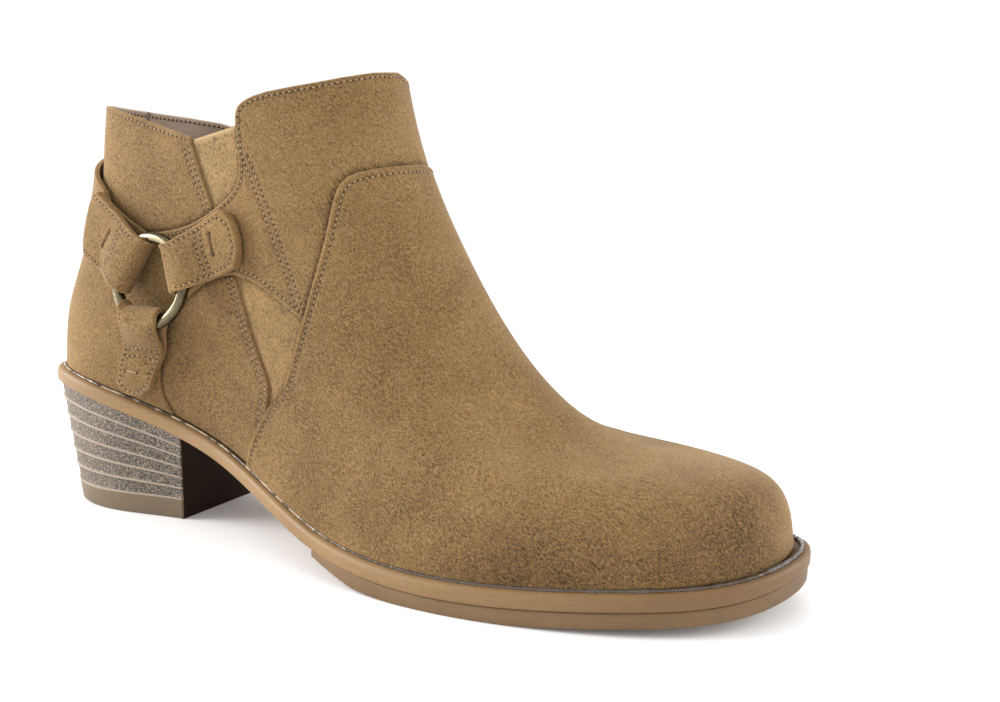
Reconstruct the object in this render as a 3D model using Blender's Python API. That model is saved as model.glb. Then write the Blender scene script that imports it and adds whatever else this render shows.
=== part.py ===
"""Block heel ankle boot for the right foot: hollow upper, insole, rand, sole, stacked heel, ring harness."""
import math
from collections import namedtuple

import bpy
import numpy as np
from mathutils import Matrix
from mathutils.geometry import delaunay_2d_cdt

# Sizes in metres: the sole first, then the upper, the harness and the clearances
SOLE_LENGTH = 0.280
BALL_HALF = 0.050
HEEL_HEIGHT = 0.0465
RAND_THICK = 0.0052
TREAD_THICK = 0.0052
TREAD_START = 0.138
LEDGE = 0.0032
HEEL_TOP_FRONT = 0.0715
HEEL_FOOT_FRONT = 0.066
HEEL_FOOT_BACK = 0.005
HEEL_FOOT_WIDTH = 0.74
HEEL_INSET = 0.0010
LIFT_THICK = 0.0076
STACK_GROOVE = 0.0004
STACK_LINE = 0.0008
STACK_BANDS = 6
INSOLE_THICK = 0.0024
INSOLE_MARGIN = 0.0012
COLLAR_HEIGHT = 0.158
WALL = 0.0023
GORE_STEP = -0.0013
QUARTER_STEP = -0.0006
SHAFT_STEP = 0.0
VAMP_STEP = 0.0007
RING_RADIUS = 0.0146
RING_LEAN = 0.0036
WIRE_RADIUS = 0.0019
PLY = 0.0015
STRAP_HALF = 0.0105
BAND_THICK = 0.0016
BAND_OFF = 0.0007
STRAP_OFF = 0.0011
RING_CLEAR = 0.0020
GAP = 0.0003

# Sole stations: share of the length, half width and swing as shares of BALL_HALF, height as a share of
# HEEL_HEIGHT
Station = namedtuple("Station", "along half swing rise")
STATIONS = [
    Station(0.000, 0.000, 0.000, 1.002),
    Station(0.038, 0.484, -0.018, 1.011),
    Station(0.146, 0.664, -0.022, 0.903),
    Station(0.309, 0.576, -0.016, 0.581),
    Station(0.500, 0.814, -0.116, 0.185),
    Station(0.691, 0.992, -0.040, 0.100),
    Station(0.854, 0.854, 0.032, 0.157),
    Station(0.962, 0.492, 0.060, 0.228),
    Station(1.000, 0.000, 0.090, 0.288),
]
# Upper sections: back and front ends as shares of the sole's length and the collar's height, how far the
# section follows the sole's own dip, then the half widths from heel to toe as shares of BALL_HALF
Section = namedtuple("Section", "back back_up front front_up sag w1 w2 w3 w4 w5 w6 w7")
SECTIONS = [
    Section(0.016, 0.392, 0.979, 0.196, 1.00, 0.460, 0.630, 0.570, 0.690, 0.930, 0.810, 0.440),
    Section(0.020, 0.456, 0.951, 0.247, 0.85, 0.450, 0.620, 0.550, 0.630, 0.810, 0.730, 0.410),
    Section(0.033, 0.519, 0.869, 0.265, 0.65, 0.440, 0.606, 0.560, 0.590, 0.690, 0.610, 0.360),
    Section(0.049, 0.582, 0.768, 0.295, 0.45, 0.426, 0.590, 0.570, 0.580, 0.610, 0.510, 0.300),
    Section(0.066, 0.646, 0.695, 0.384, 0.28, 0.416, 0.580, 0.590, 0.600, 0.580, 0.460, 0.270),
    Section(0.083, 0.709, 0.639, 0.506, 0.12, 0.416, 0.576, 0.620, 0.620, 0.570, 0.440, 0.250),
    Section(0.096, 0.772, 0.594, 0.633, 0.05, 0.424, 0.584, 0.650, 0.650, 0.580, 0.440, 0.250),
    Section(0.105, 0.842, 0.554, 0.766, 0.00, 0.436, 0.606, 0.670, 0.680, 0.610, 0.450, 0.260),
    Section(0.114, 0.918, 0.525, 0.899, 0.00, 0.446, 0.620, 0.680, 0.700, 0.630, 0.470, 0.270),
    Section(0.121, 0.994, 0.504, 1.044, 0.00, 0.446, 0.620, 0.680, 0.710, 0.640, 0.480, 0.270),
]
# Edges on the upper: eighths round from the heel's back to the toe, then share of the way up
Edge = namedtuple("Edge", "round up")
COLLAR = [
    Edge(0.0, 0.905), Edge(0.8, 0.903), Edge(1.64, 0.893), Edge(2.7, 0.861), Edge(3.66, 0.827),
    Edge(3.67, 0.822), Edge(4.07, 0.840), Edge(4.50, 0.858), Edge(4.51, 0.862), Edge(4.53, 0.880),
    Edge(4.60, 0.897), Edge(4.75, 0.909), Edge(5.10, 0.920), Edge(5.57, 0.930), Edge(6.46, 0.946),
    Edge(7.2, 0.957), Edge(8.0, 0.964),
]
QUARTER_FRONT = [
    Edge(3.665, 0.96), Edge(3.665, 0.824), Edge(3.74, 0.748), Edge(3.80, 0.673), Edge(3.84, 0.601),
    Edge(3.88, 0.53), Edge(3.89, 0.413), Edge(3.80, 0.30), Edge(3.62, 0.215), Edge(3.50, 0.15),
    Edge(3.8, -0.1),
]
SHAFT_EDGE = [
    Edge(4.505, 1.1), Edge(4.505, 0.87), Edge(4.44, 0.791), Edge(4.34, 0.751), Edge(4.20, 0.726),
    Edge(3.86, 0.684), Edge(3.3, 0.62), Edge(2.6, 0.56), Edge(1.4, 0.49), Edge(0.0, 0.46),
]
COUNTER_FRONT = [
    Edge(2.66, -0.1), Edge(2.62, 0.0), Edge(2.53, 0.04), Edge(2.51, 0.102), Edge(2.56, 0.177),
    Edge(2.68, 0.278), Edge(2.86, 0.356), Edge(3.14, 0.437), Edge(3.45, 0.500), Edge(3.75, 0.536),
    Edge(4.12, 0.548), Edge(4.50, 0.523), Edge(4.69, 0.507), Edge(5.2, 0.45),
]
VAMP_EDGE = [
    Edge(8.0, 0.820), Edge(7.01, 0.810), Edge(6.4, 0.797), Edge(6.1, 0.785), Edge(5.88, 0.765),
    Edge(5.70, 0.735), Edge(5.51, 0.695), Edge(5.19, 0.625), Edge(4.64, 0.486), Edge(4.2, 0.365),
    Edge(3.72, 0.230), Edge(3.45, 0.13), Edge(3.33, 0.06), Edge(3.27, 0.0), Edge(3.22, -0.1),
]
# Harness straps: heading from the ring, how far it sits aside and how near its fold comes to the ring's
# middle as shares of RING_RADIUS, half width as a share of STRAP_HALF, both corners of the far end, whether
# it lies over the band
Strap = namedtuple(
    "Strap", "name heading aside reach half near_round near_up far_round far_up over_band"
)
STRAPS = [
    Strap("strap_rear", 150.0, -0.05, 0.43, 0.98, 1.60, 0.415, 1.62, 0.660, True),
    Strap("strap_front", 19.0, 0.09, 0.57, 0.79, 4.20, 0.704, 4.18, 0.585, False),
    Strap("strap_down", 270.0, -0.15, 0.58, 0.80, 2.55, 0.036, 2.19, 0.006, False),
]
RING_ROUND = 2.83
RING_UP = 0.447
RING_OFF = RING_CLEAR + PLY + GAP + WIRE_RADIUS
BAND = [Edge(0.0, 0.665), Edge(0.7, 0.640), Edge(1.3, 0.590), Edge(1.95, 0.535)]
BAND_HALF = 0.098

# Colours of the materials
TAN = (0.36, 0.21, 0.095, 1.0)
GOLD_TAN = (0.42, 0.27, 0.12, 1.0)
MAUVE = (0.20, 0.15, 0.13, 1.0)
RAND_BROWN = (0.27, 0.16, 0.085, 1.0)
LIFT_BROWN = (0.19, 0.11, 0.06, 1.0)
STACK_GREY = (0.22, 0.18, 0.15, 1.0)
BRASS = (0.42, 0.35, 0.20, 1.0)


def natural_spline(xs, ys, at):
    """Values of the natural cubic through (xs, ys) at each of `at`."""
    xs = np.asarray(xs, float)
    ys = np.asarray(ys, float)
    flat = ys.reshape(len(xs), -1)
    count = len(xs)
    step = np.diff(xs)
    rows = np.eye(count)
    right = np.zeros_like(flat)
    for i in range(1, count - 1):
        rows[i, i - 1:i + 2] = step[i - 1], 2 * (step[i - 1] + step[i]), step[i]
        right[i] = 6 * ((flat[i + 1] - flat[i]) / step[i] - (flat[i] - flat[i - 1]) / step[i - 1])
    bend = np.linalg.solve(rows, right)
    at = np.asarray(at, float)
    i = np.clip(np.searchsorted(xs, at) - 1, 0, count - 2)
    t = (at - xs[i])[:, None]
    h = step[i][:, None]
    slope = (flat[i + 1] - flat[i]) / h - h * (2 * bend[i] + bend[i + 1]) / 6
    out = flat[i] + slope * t + bend[i] / 2 * t**2 + (bend[i + 1] - bend[i]) / (6 * h) * t**3
    return out.reshape((len(at),) + ys.shape[1:])


def closed_spline(rows, at):
    """One point per row on the closed cubic through that row's columns, at column number `at`."""
    rows = np.asarray(rows, float)
    count = rows.shape[1]
    square = 4 * np.eye(count) + np.roll(np.eye(count), 1, 0) + np.roll(np.eye(count), -1, 0)
    kink = 6 * (np.roll(rows, -1, 1) - 2 * rows + np.roll(rows, 1, 1))
    bend = np.einsum("ij,njk->nik", np.linalg.inv(square), kink)
    at = np.asarray(at, float) % count
    i = np.floor(at).astype(int) % count
    j = (i + 1) % count
    t = (at - np.floor(at))[:, None]
    n = np.arange(len(rows))
    p, q, a, b = rows[n, i], rows[n, j], bend[n, i], bend[n, j]
    return p + (q - p - (2 * a + b) / 6) * t + a / 2 * t**2 + (b - a) / 6 * t**3


def sole_rise(x):
    """Height of the rand's under side at each x."""
    xs = [s.along * SOLE_LENGTH for s in STATIONS]
    return natural_spline(xs, [s.rise * HEEL_HEIGHT for s in STATIONS], np.clip(x, 0, SOLE_LENGTH))


def sole_swing(x):
    """Sideways place of the sole's middle line at each x."""
    xs = [s.along * SOLE_LENGTH for s in STATIONS]
    return natural_spline(xs, [s.swing * BALL_HALF for s in STATIONS], np.clip(x, 0, SOLE_LENGTH))


def sole_outline(at, inset=0.0):
    """Points of the sole's outline at places 0..16 round, moved inwards by `inset`."""
    ring = []
    for k in range(16):
        s = STATIONS[min(k, 16 - k)]
        side = -1 if k <= 8 else 1
        ring.append((s.along * SOLE_LENGTH, (s.swing + side * s.half) * BALL_HALF))
    rows = np.repeat(np.array(ring)[None], len(at), 0)
    here = closed_spline(rows, at)
    ahead = closed_spline(rows, np.asarray(at) + 0.01)
    behind = closed_spline(rows, np.asarray(at) - 0.01)
    way = ahead - behind
    way /= np.linalg.norm(way, axis=1)[:, None]
    return here + inset * np.column_stack([-way[:, 1], way[:, 0]])


def place_at(x, inset=0.0):
    """Place round the lateral half of the outline where it reaches x."""
    at = np.linspace(0, 8, 1601)
    return float(at[np.abs(sole_outline(at, inset)[:, 0] - x).argmin()])


def control_net():
    """Section by section, 16 points round the upper's outside."""
    feather = sole_outline(np.arange(16.0), LEDGE)
    net = [np.column_stack([feather, sole_rise(feather[:, 0]) + RAND_THICK + GAP])]
    ends = sole_rise(np.array([0.0, SOLE_LENGTH]))
    for s in SECTIONS:
        widths = [0, s.w1, s.w2, s.w3, s.w4, s.w5, s.w6, s.w7, 0]
        row = []
        for k in range(16):
            j = min(k, 16 - k)
            side = -1 if k <= 8 else 1
            a = (1 - math.cos(j * math.pi / 8)) / 2
            x = (s.back + a * (s.front - s.back)) * SOLE_LENGTH
            z = (s.back_up + a * (s.front_up - s.back_up)) * COLLAR_HEIGHT
            dip = sole_rise(feather[j:j + 1, 0])[0] - (ends[0] * (1 - a) + ends[1] * a)
            y = sole_swing(np.array([x]))[0] + side * widths[j] * BALL_HALF
            row.append((x, y, z + s.sag * dip))
        net.append(np.array(row))
    return np.array(net)


NET = control_net()
GAPS_UP = np.linalg.norm(np.diff(NET, axis=0), axis=2).mean(1)
LEVELS = np.concatenate([[0], np.cumsum(GAPS_UP)]) / GAPS_UP.sum()


def upper_point(around, up):
    """Points of the upper's outside at places round and shares of the way up."""
    return closed_spline(natural_spline(LEVELS, NET, np.clip(up, 0, 1)), around)


def upper_normal(around, up):
    """Outward unit normals; level at the feather line and at the collar."""
    around, up = np.asarray(around, float), np.clip(up, 0.002, 0.998)
    along = upper_point(around + 0.02, up) - upper_point(around - 0.02, up)
    rising = upper_point(around, up + 0.002) - upper_point(around, up - 0.002)
    out = np.cross(along, rising)
    level = np.clip(up / 0.05, 0, 1)
    out /= np.linalg.norm(out, axis=1)[:, None]
    out[:, 2] *= level
    return out / np.linalg.norm(out, axis=1)[:, None]


def raised(around, up, height):
    """Points at a height over the upper's outside."""
    return upper_point(around, up) + upper_normal(around, up) * np.asarray(height)[..., None]


def foot_of(points):
    """Place round, share up and height over the upper of each point."""
    points = np.asarray(points, float)
    uu, vv = np.meshgrid(np.linspace(0, 16, 129)[:-1], np.linspace(0, 1, 51))
    grid = upper_point(uu.ravel(), vv.ravel())
    near = np.linalg.norm(points[:, None] - grid, axis=2).argmin(1)
    u, v = uu.ravel()[near], vv.ravel()[near]
    for _ in range(12):
        here = upper_point(u, v)
        du = (upper_point(u + 0.01, v) - here) / 0.01
        dv = (upper_point(u, v + 0.001) - here) / 0.001
        d = points - here
        a, b, c = (du * du).sum(1), (du * dv).sum(1), (dv * dv).sum(1)
        p, q = (d * du).sum(1), (d * dv).sum(1)
        det = a * c - b * b
        u, v = u + (c * p - b * q) / det, v + (a * q - b * p) / det
    return u, v, ((points - upper_point(u, v)) * upper_normal(u, v)).sum(1)


def material(name, colour, rough, metal=0.0):
    """A plain Principled material."""
    made = bpy.data.materials.new(name)
    made.use_nodes = True
    shader = made.node_tree.nodes["Principled BSDF"]
    shader.inputs["Base Color"].default_value = colour
    shader.inputs["Roughness"].default_value = rough
    shader.inputs["Metallic"].default_value = metal
    return made


def solid(name, points, faces, slots, which=None, crease=35.0):
    """A named mesh object, faces turned outwards, shaded smooth but for its sharp edges."""
    mesh = bpy.data.meshes.new(name)
    mesh.from_pydata([tuple(float(c) for c in p) for p in points], [], faces)
    for slot in slots:
        mesh.materials.append(slot)
    if which is not None:
        mesh.polygons.foreach_set("material_index", which)
    mesh.shade_smooth()
    mesh.set_sharp_from_angle(angle=math.radians(crease))
    mesh.validate()
    made = bpy.data.objects.new(name, mesh)
    bpy.context.scene.collection.objects.link(made)
    return made


def ladder(loop, up):
    """Faces that close a loop of indices straight across, pairing its two sides."""
    count = len(loop)
    faces = []
    first, last = 0, count - 1
    while last - first >= 2:
        a, b, c, d = loop[first], loop[first + 1], loop[last - 1], loop[last]
        face = (a, b, c, d) if b != c else (a, b, d)
        faces.append(face if up else face[::-1])
        first, last = first + 1, last - 1
    return faces


def stacked(rows):
    """Points and faces of a solid from loops of points, bottom loop first."""
    count = len(rows[0])
    points = np.vstack(rows)
    faces = []
    for r in range(len(rows) - 1):
        for i in range(count):
            j = (i + 1) % count
            faces.append((r * count + j, r * count + i, (r + 1) * count + i, (r + 1) * count + j))
    low = list(range(count))
    high = [(len(rows) - 1) * count + i for i in range(count)]
    return points, faces + ladder(low, True) + ladder(high, False)


def with_height(xy, z):
    """Flat points given their heights."""
    return np.column_stack([xy, z])


# Soles: every solid is a stack of outlines, each at its own inset and height
def make_rand(slots):
    """The rand over the whole length, with a rounded rim."""
    at = np.linspace(0, 16, 97)[:-1]
    rows = []
    for inset, share in ((0.42, 0.0), (0.12, 0.0), (0.0, 0.16), (0.0, 0.62), (0.08, 0.86), (0.27, 1.0)):
        xy = sole_outline(at, inset * RAND_THICK)
        rows.append(with_height(xy, sole_rise(xy[:, 0]) + share * RAND_THICK))
    return solid("rand", *closed_stack(rows), slots)


def closed_stack(rows):
    """A stack whose loops start and end on the middle line: the seam point is paired with itself."""
    points, faces = stacked(rows)
    count = len(rows[0])
    sides = faces[:(len(rows) - 1) * count]
    caps = []
    for start, up in ((0, True), ((len(rows) - 1) * count, False)):
        loop = [start + i for i in range(count)]
        caps.append((loop[0], loop[1], loop[-1]) if up else (loop[1], loop[0], loop[-1]))
        caps += ladder(loop[1:], up)
    return points, sides + caps


def make_insole(slots):
    """The insole inside the upper's wall."""
    at = np.linspace(0, 16, 49)[:-1]
    inset = LEDGE + WALL + INSOLE_MARGIN
    rows = []
    for more, up in ((0.0, 0.0), (0.0, INSOLE_THICK)):
        xy = sole_outline(at, inset + more)
        rows.append(with_height(xy, sole_rise(xy[:, 0]) + RAND_THICK + GAP + up))
    return solid("insole", *closed_stack(rows), slots)


def make_tread(slots):
    """The forepart sole, thin where it starts at the waist and flat where it meets the floor."""
    start = place_at(TREAD_START)
    at = np.linspace(start, 16 - start, 65)
    rows = []
    for inset, share in ((0.58, 1.0), (0.23, 0.97), (0.08, 0.80), (0.12, 0.0), (0.50, 0.0)):
        xy = sole_outline(at, inset * TREAD_THICK)
        thick = TREAD_THICK * np.clip(0.45 + (xy[:, 0] - TREAD_START) / 0.030, 0, 1)
        top = sole_rise(xy[:, 0]) - GAP
        rows.append(with_height(xy, np.maximum(top - share * (thick - GAP), 0.0)))
    return solid("forepart_sole", *stacked(rows), slots)


def heel_loop(share, inset):
    """A heel section: 0 is the foot, 1 the seat under the rand."""
    start = place_at(HEEL_TOP_FRONT, HEEL_INSET)
    at = np.linspace(start, -start, 29)
    seat = sole_outline(at, HEEL_INSET)
    mid = sole_swing(seat[:, 0])
    foot_x = HEEL_FOOT_BACK + seat[:, 0] / HEEL_TOP_FRONT * (HEEL_FOOT_FRONT - HEEL_FOOT_BACK)
    foot = np.column_stack([foot_x, mid + (seat[:, 1] - mid) * HEEL_FOOT_WIDTH])
    xy = foot + (seat - foot) * share
    way = np.gradient(xy, axis=0)
    way /= np.linalg.norm(way, axis=1)[:, None]
    xy = xy + inset * np.column_stack([way[:, 1], -way[:, 0]])
    return xy[::-1]


def make_heel(stack_slots, lift_slots):
    """The stacked heel with its raised lines, and the top lift under it."""
    def seat_height(xy):
        return sole_rise(xy[:, 0]) - GAP
    cut = LIFT_THICK / HEEL_HEIGHT
    line = STACK_LINE * STACK_BANDS / (HEEL_HEIGHT - LIFT_THICK)
    rows = []
    for band in range(STACK_BANDS):
        for share, inset in ((0.0, 0.0), (line, 0.0), (line, STACK_GROOVE), (1.0, STACK_GROOVE)):
            t = (band + share) / STACK_BANDS
            xy = heel_loop(cut + (1 - cut) * t, inset)
            low = LIFT_THICK + GAP
            rows.append(with_height(xy, low + (seat_height(xy) - low) * t))
    made = [solid("heel_stack", *stacked(rows), stack_slots)]
    rows = []
    for share, inset in ((0.0, 0.08 * LIFT_THICK), (0.08, 0.0), (1.0, 0.0)):
        xy = heel_loop(cut * share, inset)
        rows.append(with_height(xy, np.full(len(xy), LIFT_THICK * share)))
    made.append(solid("heel_lift", *stacked(rows), lift_slots))
    return made


# Upper: the panels are drawn on its unrolled face, and each face of the mesh takes its panel's step
STRETCH = 5.0


def smooth_path(edges, step=0.18):
    """A smooth line through table points, in places round and stretched shares up."""
    pts = np.array([(e.round, e.up * STRETCH) for e in edges])
    run = np.concatenate([[0], np.cumsum(np.linalg.norm(np.diff(pts, axis=0), axis=1))])
    count = max(2, int(round(run[-1] / step)))
    return natural_spline(run, pts, np.linspace(0, run[-1], count + 1))


def corner_path(edges, step=0.30):
    """Straight runs between table points."""
    out = []
    for a, b in zip(edges[:-1], edges[1:]):
        p, q = np.array([a.round, a.up * STRETCH]), np.array([b.round, b.up * STRETCH])
        count = max(1, int(np.linalg.norm(q - p) / step))
        out += [p + (q - p) * i / count for i in range(count)]
    out.append(np.array([edges[-1].round, edges[-1].up * STRETCH]))
    return np.array(out)


def split(path, step=0.30):
    """A closed line with points put into its long runs."""
    out = []
    for p, q in zip(path, np.roll(path, -1, 0)):
        count = max(1, int(np.linalg.norm(q - p) / step))
        out += [p + (q - p) * i / count for i in range(count)]
    return np.array(out)


def mirrored(path):
    """The same line on the other side."""
    return np.column_stack([16 - path[:, 0], path[:, 1]])[::-1]


def panels():
    """Outline of the wall, then the panels over it with their steps."""
    rim = corner_path(COLLAR)
    rim = np.vstack([rim, mirrored(rim)[1:]])
    rows = np.linspace(0, rim[0, 1], 15)[1:-1]
    foot = np.column_stack([np.linspace(0, 16, 65), np.zeros(65)])
    left = np.column_stack([np.zeros(len(rows)), rows])[::-1]
    right = np.column_stack([np.full(len(rows), 16.0), rows])
    wall = np.vstack([foot, right, rim[::-1], left])
    quarter = smooth_path(QUARTER_FRONT)
    back = np.array([[-1.0, -0.6], [-1.0, 5.6]])
    rear = np.vstack([back, [[quarter[0, 0], 5.6]], quarter])
    shaft = smooth_path(SHAFT_EDGE)
    counter = smooth_path(COUNTER_FRONT)
    arm = np.vstack([
        [[8.0, 5.6]], shaft, [[-1.0, shaft[-1, 1]]], [[-1.0, -0.6]], counter, [[8.0, counter[-1, 1]]],
    ])
    vamp = smooth_path(VAMP_EDGE)
    vamp = np.vstack([vamp, mirrored(vamp)])
    rear, arm, vamp = split(rear), split(arm), split(vamp)
    return wall, [
        (rear, QUARTER_STEP), (mirrored(rear), QUARTER_STEP),
        (arm, SHAFT_STEP), (mirrored(arm), SHAFT_STEP), (vamp, VAMP_STEP),
    ]


def wall_net():
    """Triangles of the unrolled wall and the step of each."""
    wall, over = panels()
    outlines = [wall] + [outline for outline, step in over]
    points, loops = [], []
    for outline in outlines:
        loops.append(list(range(len(points), len(points) + len(outline))))
        points += [tuple(p) for p in outline]
    lines = np.array(points)
    for i, v in enumerate(np.concatenate([np.linspace(0.2, 1.6, 7), np.linspace(1.9, 4.9, 10)])):
        ends = ((0.25, 5.6, 19), (5.8, 10.2, 20), (10.4, 15.75, 19))
        around = np.concatenate([np.linspace(*end) for end in ends])
        for u in around + (0.06 if i % 2 else -0.06):
            if np.linalg.norm(lines - (u, v), axis=1).min() > 0.11:
                points.append((u, v))
    out = delaunay_2d_cdt([tuple(float(c) for c in p) for p in points], [], loops, 1, 1e-5, True)
    verts = np.array([(v.x, v.y) for v in out[0]])
    faces, steps = [], []
    for face, owners in zip(out[2], out[5]):
        if 0 not in owners:
            continue
        step = GORE_STEP
        for owner in owners:
            if owner > 0:
                step = max(step, over[owner - 1][1])
        faces.append(list(face))
        steps.append(step)
    return verts, faces, steps


def make_upper(slots):
    """The hollow upper: outside faces at their steps, inside faces at the wall's depth, walls between."""
    flat, faces, steps = wall_net()
    keys = {}
    merged = []
    for p in flat:
        key = (round(p[0] % 16, 4) % 16, round(p[1], 4))
        merged.append(keys.setdefault(key, len(keys)))
    places = np.array(list(keys))
    faces = [[merged[i] for i in face] for face in faces]
    kept = [(f, s) for f, s in zip(faces, steps) if len(set(f)) == 3]
    base = upper_point(places[:, 0], places[:, 1] / STRETCH)
    normal = upper_normal(places[:, 0], places[:, 1] / STRETCH)
    heights = {}
    for face, step in kept:
        for i in face:
            heights.setdefault(i, set()).update((step, -WALL))
    index, points = {}, []
    for i in sorted(heights):
        for h in sorted(heights[i]):
            index[(i, h)] = len(points)
            points.append(base[i] + normal[i] * h)
    made, which = [], []
    edges = {}
    for face, step in kept:
        p, q, r = (base[i] for i in face)
        turn = np.cross(q - p, r - p) @ normal[face[0]]
        face = face if turn > 0 else face[::-1]
        made.append([index[(i, step)] for i in face])
        which.append(1 if step == GORE_STEP else 0)
        made.append([index[(i, -WALL)] for i in face[::-1]])
        which.append(2)
        for a, b in zip(face, face[1:] + face[:1]):
            edges[(a, b)] = step
    for (a, b), step in sorted(edges.items()):
        other = edges.get((b, a), -WALL)
        if step <= other:
            continue
        up_a = [index[(a, h)] for h in sorted(heights[a]) if other <= h <= step]
        up_b = [index[(b, h)] for h in sorted(heights[b]) if other <= h <= step]
        made.append(up_b + up_a[::-1])
        which.append(0)
    return solid("upper", points, made, slots, which, crease=40.0)


# Harness: the ring lies level over three points of the upper, the straps fold round its wire
def ring_frame():
    """Middle of the ring and its two directions and normal."""
    u, v = np.array([RING_ROUND]), np.array([RING_UP])
    middle = raised(u, v, [RING_OFF])[0]
    out = upper_normal(u, v)[0]
    for _ in range(10):
        level = np.cross((0, 0, 1.0), out)
        level /= np.linalg.norm(level)
        if level[0] < 0:
            level = -level
        rising = np.cross(out, level)
        if rising[2] < 0:
            rising = -rising
        spots = []
        for s in STRAPS:
            a = math.radians(s.heading)
            spots.append(middle + RING_RADIUS * (math.cos(a) * level + math.sin(a) * rising))
        spots = np.array(spots)
        low = spots[:, 2] < middle[2]
        lift = RING_OFF + RING_LEAN * low - foot_of(spots)[2]
        spots = spots + lift[:, None] * out
        turned = np.cross(spots[1] - spots[0], spots[2] - spots[0])
        turned /= np.linalg.norm(turned)
        out = turned if turned @ out > 0 else -turned
        middle = middle + out * ((spots.mean(0) - middle) @ out)
    return middle, level, rising, out


def make_ring(frame, slots):
    """The round wire."""
    middle, level, rising, out = frame
    big, small = 44, 10
    points = []
    for i in range(big):
        a = 2 * math.pi * i / big
        way = math.cos(a) * level + math.sin(a) * rising
        for j in range(small):
            b = 2 * math.pi * j / small
            reach = RING_RADIUS + WIRE_RADIUS * math.cos(b)
            points.append(middle + way * reach + out * WIRE_RADIUS * math.sin(b))
    faces = []
    for i in range(big):
        for j in range(small):
            k, m = (i + 1) % big, (j + 1) % small
            faces.append((i * small + j, k * small + j, k * small + m, i * small + m))
    return solid("ring", points, faces, slots)


def strap_columns(strap, frame):
    """Across the strap: the wire's place, the far end's place and the outer and bore loops."""
    middle, level, rising, out = frame
    a = math.radians(strap.heading)
    ahead = math.cos(a) * level + math.sin(a) * rising
    aside = math.cos(a) * rising - math.sin(a) * level
    hole = WIRE_RADIUS + GAP
    nose = hole + PLY
    runs = np.array([0.0, 0.14, 0.30, 0.5, 0.72, 1.0])
    seat = BAND_OFF + BAND_THICK + 2 * GAP if strap.over_band else STRAP_OFF
    columns = []
    for t in (-1.0, -0.9, -0.6, 0.0, 0.6, 0.9, 1.0):
        across = t * STRAP_HALF * strap.half + strap.aside * RING_RADIUS
        reach = math.sqrt(RING_RADIUS**2 - across**2)
        wire = middle + aside * across + ahead * reach
        u0, v0, h0 = (float(c[0]) for c in foot_of([wire]))
        share = (1 + t) / 2
        u1 = strap.near_round + (strap.far_round - strap.near_round) * (1 - share)
        v1 = strap.near_up + (strap.far_up - strap.near_up) * (1 - share)
        stop = 1 + 0.14 * (1 - abs(t) ** 2.6) - 0.14
        s = runs * stop
        far = raised(np.array([u1]), np.array([v1]), [seat])
        u, v, _ = foot_of(wire + (far - wire) * s[:, None])
        drop = np.clip(s / 0.5, 0, 1)
        ease = drop * drop * (3 - 2 * drop)
        under = (h0 - nose) * (1 - ease) + seat * ease
        over = (h0 + nose) * (1 - ease) + (seat + 2 * PLY) * ease
        top = raised(u, v, over)[::-1]
        bottom = raised(u, v, under)
        top[-1], bottom[0] = wire + out * nose, wire - out * nose
        turn = wire + ahead * min(strap.reach * RING_RADIUS + nose - reach, 0.0)
        bends = np.radians([0, 45, 90, 135, 180])
        arc = [turn + nose * (math.cos(b) * out - math.sin(b) * ahead) for b in bends]
        outer = np.vstack([top, arc, bottom])
        stretch = 1 / math.sqrt(1 - (across / RING_RADIUS) ** 2)
        angles = [8, 20, 36, 54, 72, 90, 112, 146, 180, 214, 248, 270, 288, 306, 324, 340, 352]
        bore = [
            wire + hole * (math.cos(math.radians(b)) * stretch * ahead + math.sin(math.radians(b)) * out)
            for b in angles
        ]
        columns.append((outer, np.array(bore)))
    return columns


def make_strap(strap, frame, slots):
    """A strap end folded round the wire and laid back on itself."""
    columns = strap_columns(strap, frame)
    count = len(columns[0][0])
    points = []
    for outer, bore in columns:
        points += list(outer) + list(bore)
    faces = []
    for c in range(len(columns) - 1):
        here, there = c * 2 * count, (c + 1) * 2 * count
        for i in range(count):
            j = (i + 1) % count
            faces.append((here + i, here + j, there + j, there + i))
            faces.append((here + count + j, here + count + i, there + count + i, there + count + j))
    last = (len(columns) - 1) * 2 * count
    for i in range(count):
        j = (i + 1) % count
        faces.append((j, i, count + i, count + j))
        faces.append((last + i, last + j, last + count + j, last + count + i))
    return solid(strap.name, points, faces, slots)


def make_band(slots):
    """The strap round the heel's back, from under the rear strap to the other side."""
    path = np.array([(e.round, e.up) for e in BAND])
    whole = np.vstack([path[::-1] * (-1, 1), path[1:]])
    u = np.linspace(whole[0, 0], whole[-1, 0], 25)
    middle = natural_spline(whole[:, 0], whole[:, 1], u)
    share = np.abs(u) / BAND[-1].round
    half = BAND_HALF * np.sqrt(np.clip(1 - np.clip((share - 0.86) / 0.17, 0, 1) ** 2, 0.05, 1))
    tops, unders = [], []
    for t in (-1.0, -0.5, 0.0, 0.5, 1.0):
        tops.append(raised(u, middle + half * t, np.full(25, BAND_OFF + BAND_THICK)))
        unders.append(raised(u, middle + half * t, np.full(25, BAND_OFF)))
    grid = np.array(tops + unders)
    index = np.arange(grid.shape[0] * 25).reshape(grid.shape[0], 25)
    faces = []
    for r in range(4):
        for i in range(24):
            faces.append((index[r, i], index[r, i + 1], index[r + 1, i + 1], index[r + 1, i]))
            faces.append((index[r + 5, i + 1], index[r + 5, i], index[r + 6, i], index[r + 6, i + 1]))
    for i in range(24):
        faces.append((index[5, i], index[5, i + 1], index[0, i + 1], index[0, i]))
        faces.append((index[4, i], index[4, i + 1], index[9, i + 1], index[9, i]))
    for r in range(4):
        faces.append((index[r, 0], index[r + 1, 0], index[r + 6, 0], index[r + 5, 0]))
        faces.append((index[r + 1, 24], index[r, 24], index[r + 5, 24], index[r + 6, 24]))
    faces = [tuple(int(i) for i in face) for face in faces]
    return solid("strap_back", grid.reshape(-1, 3), faces, slots)


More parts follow.
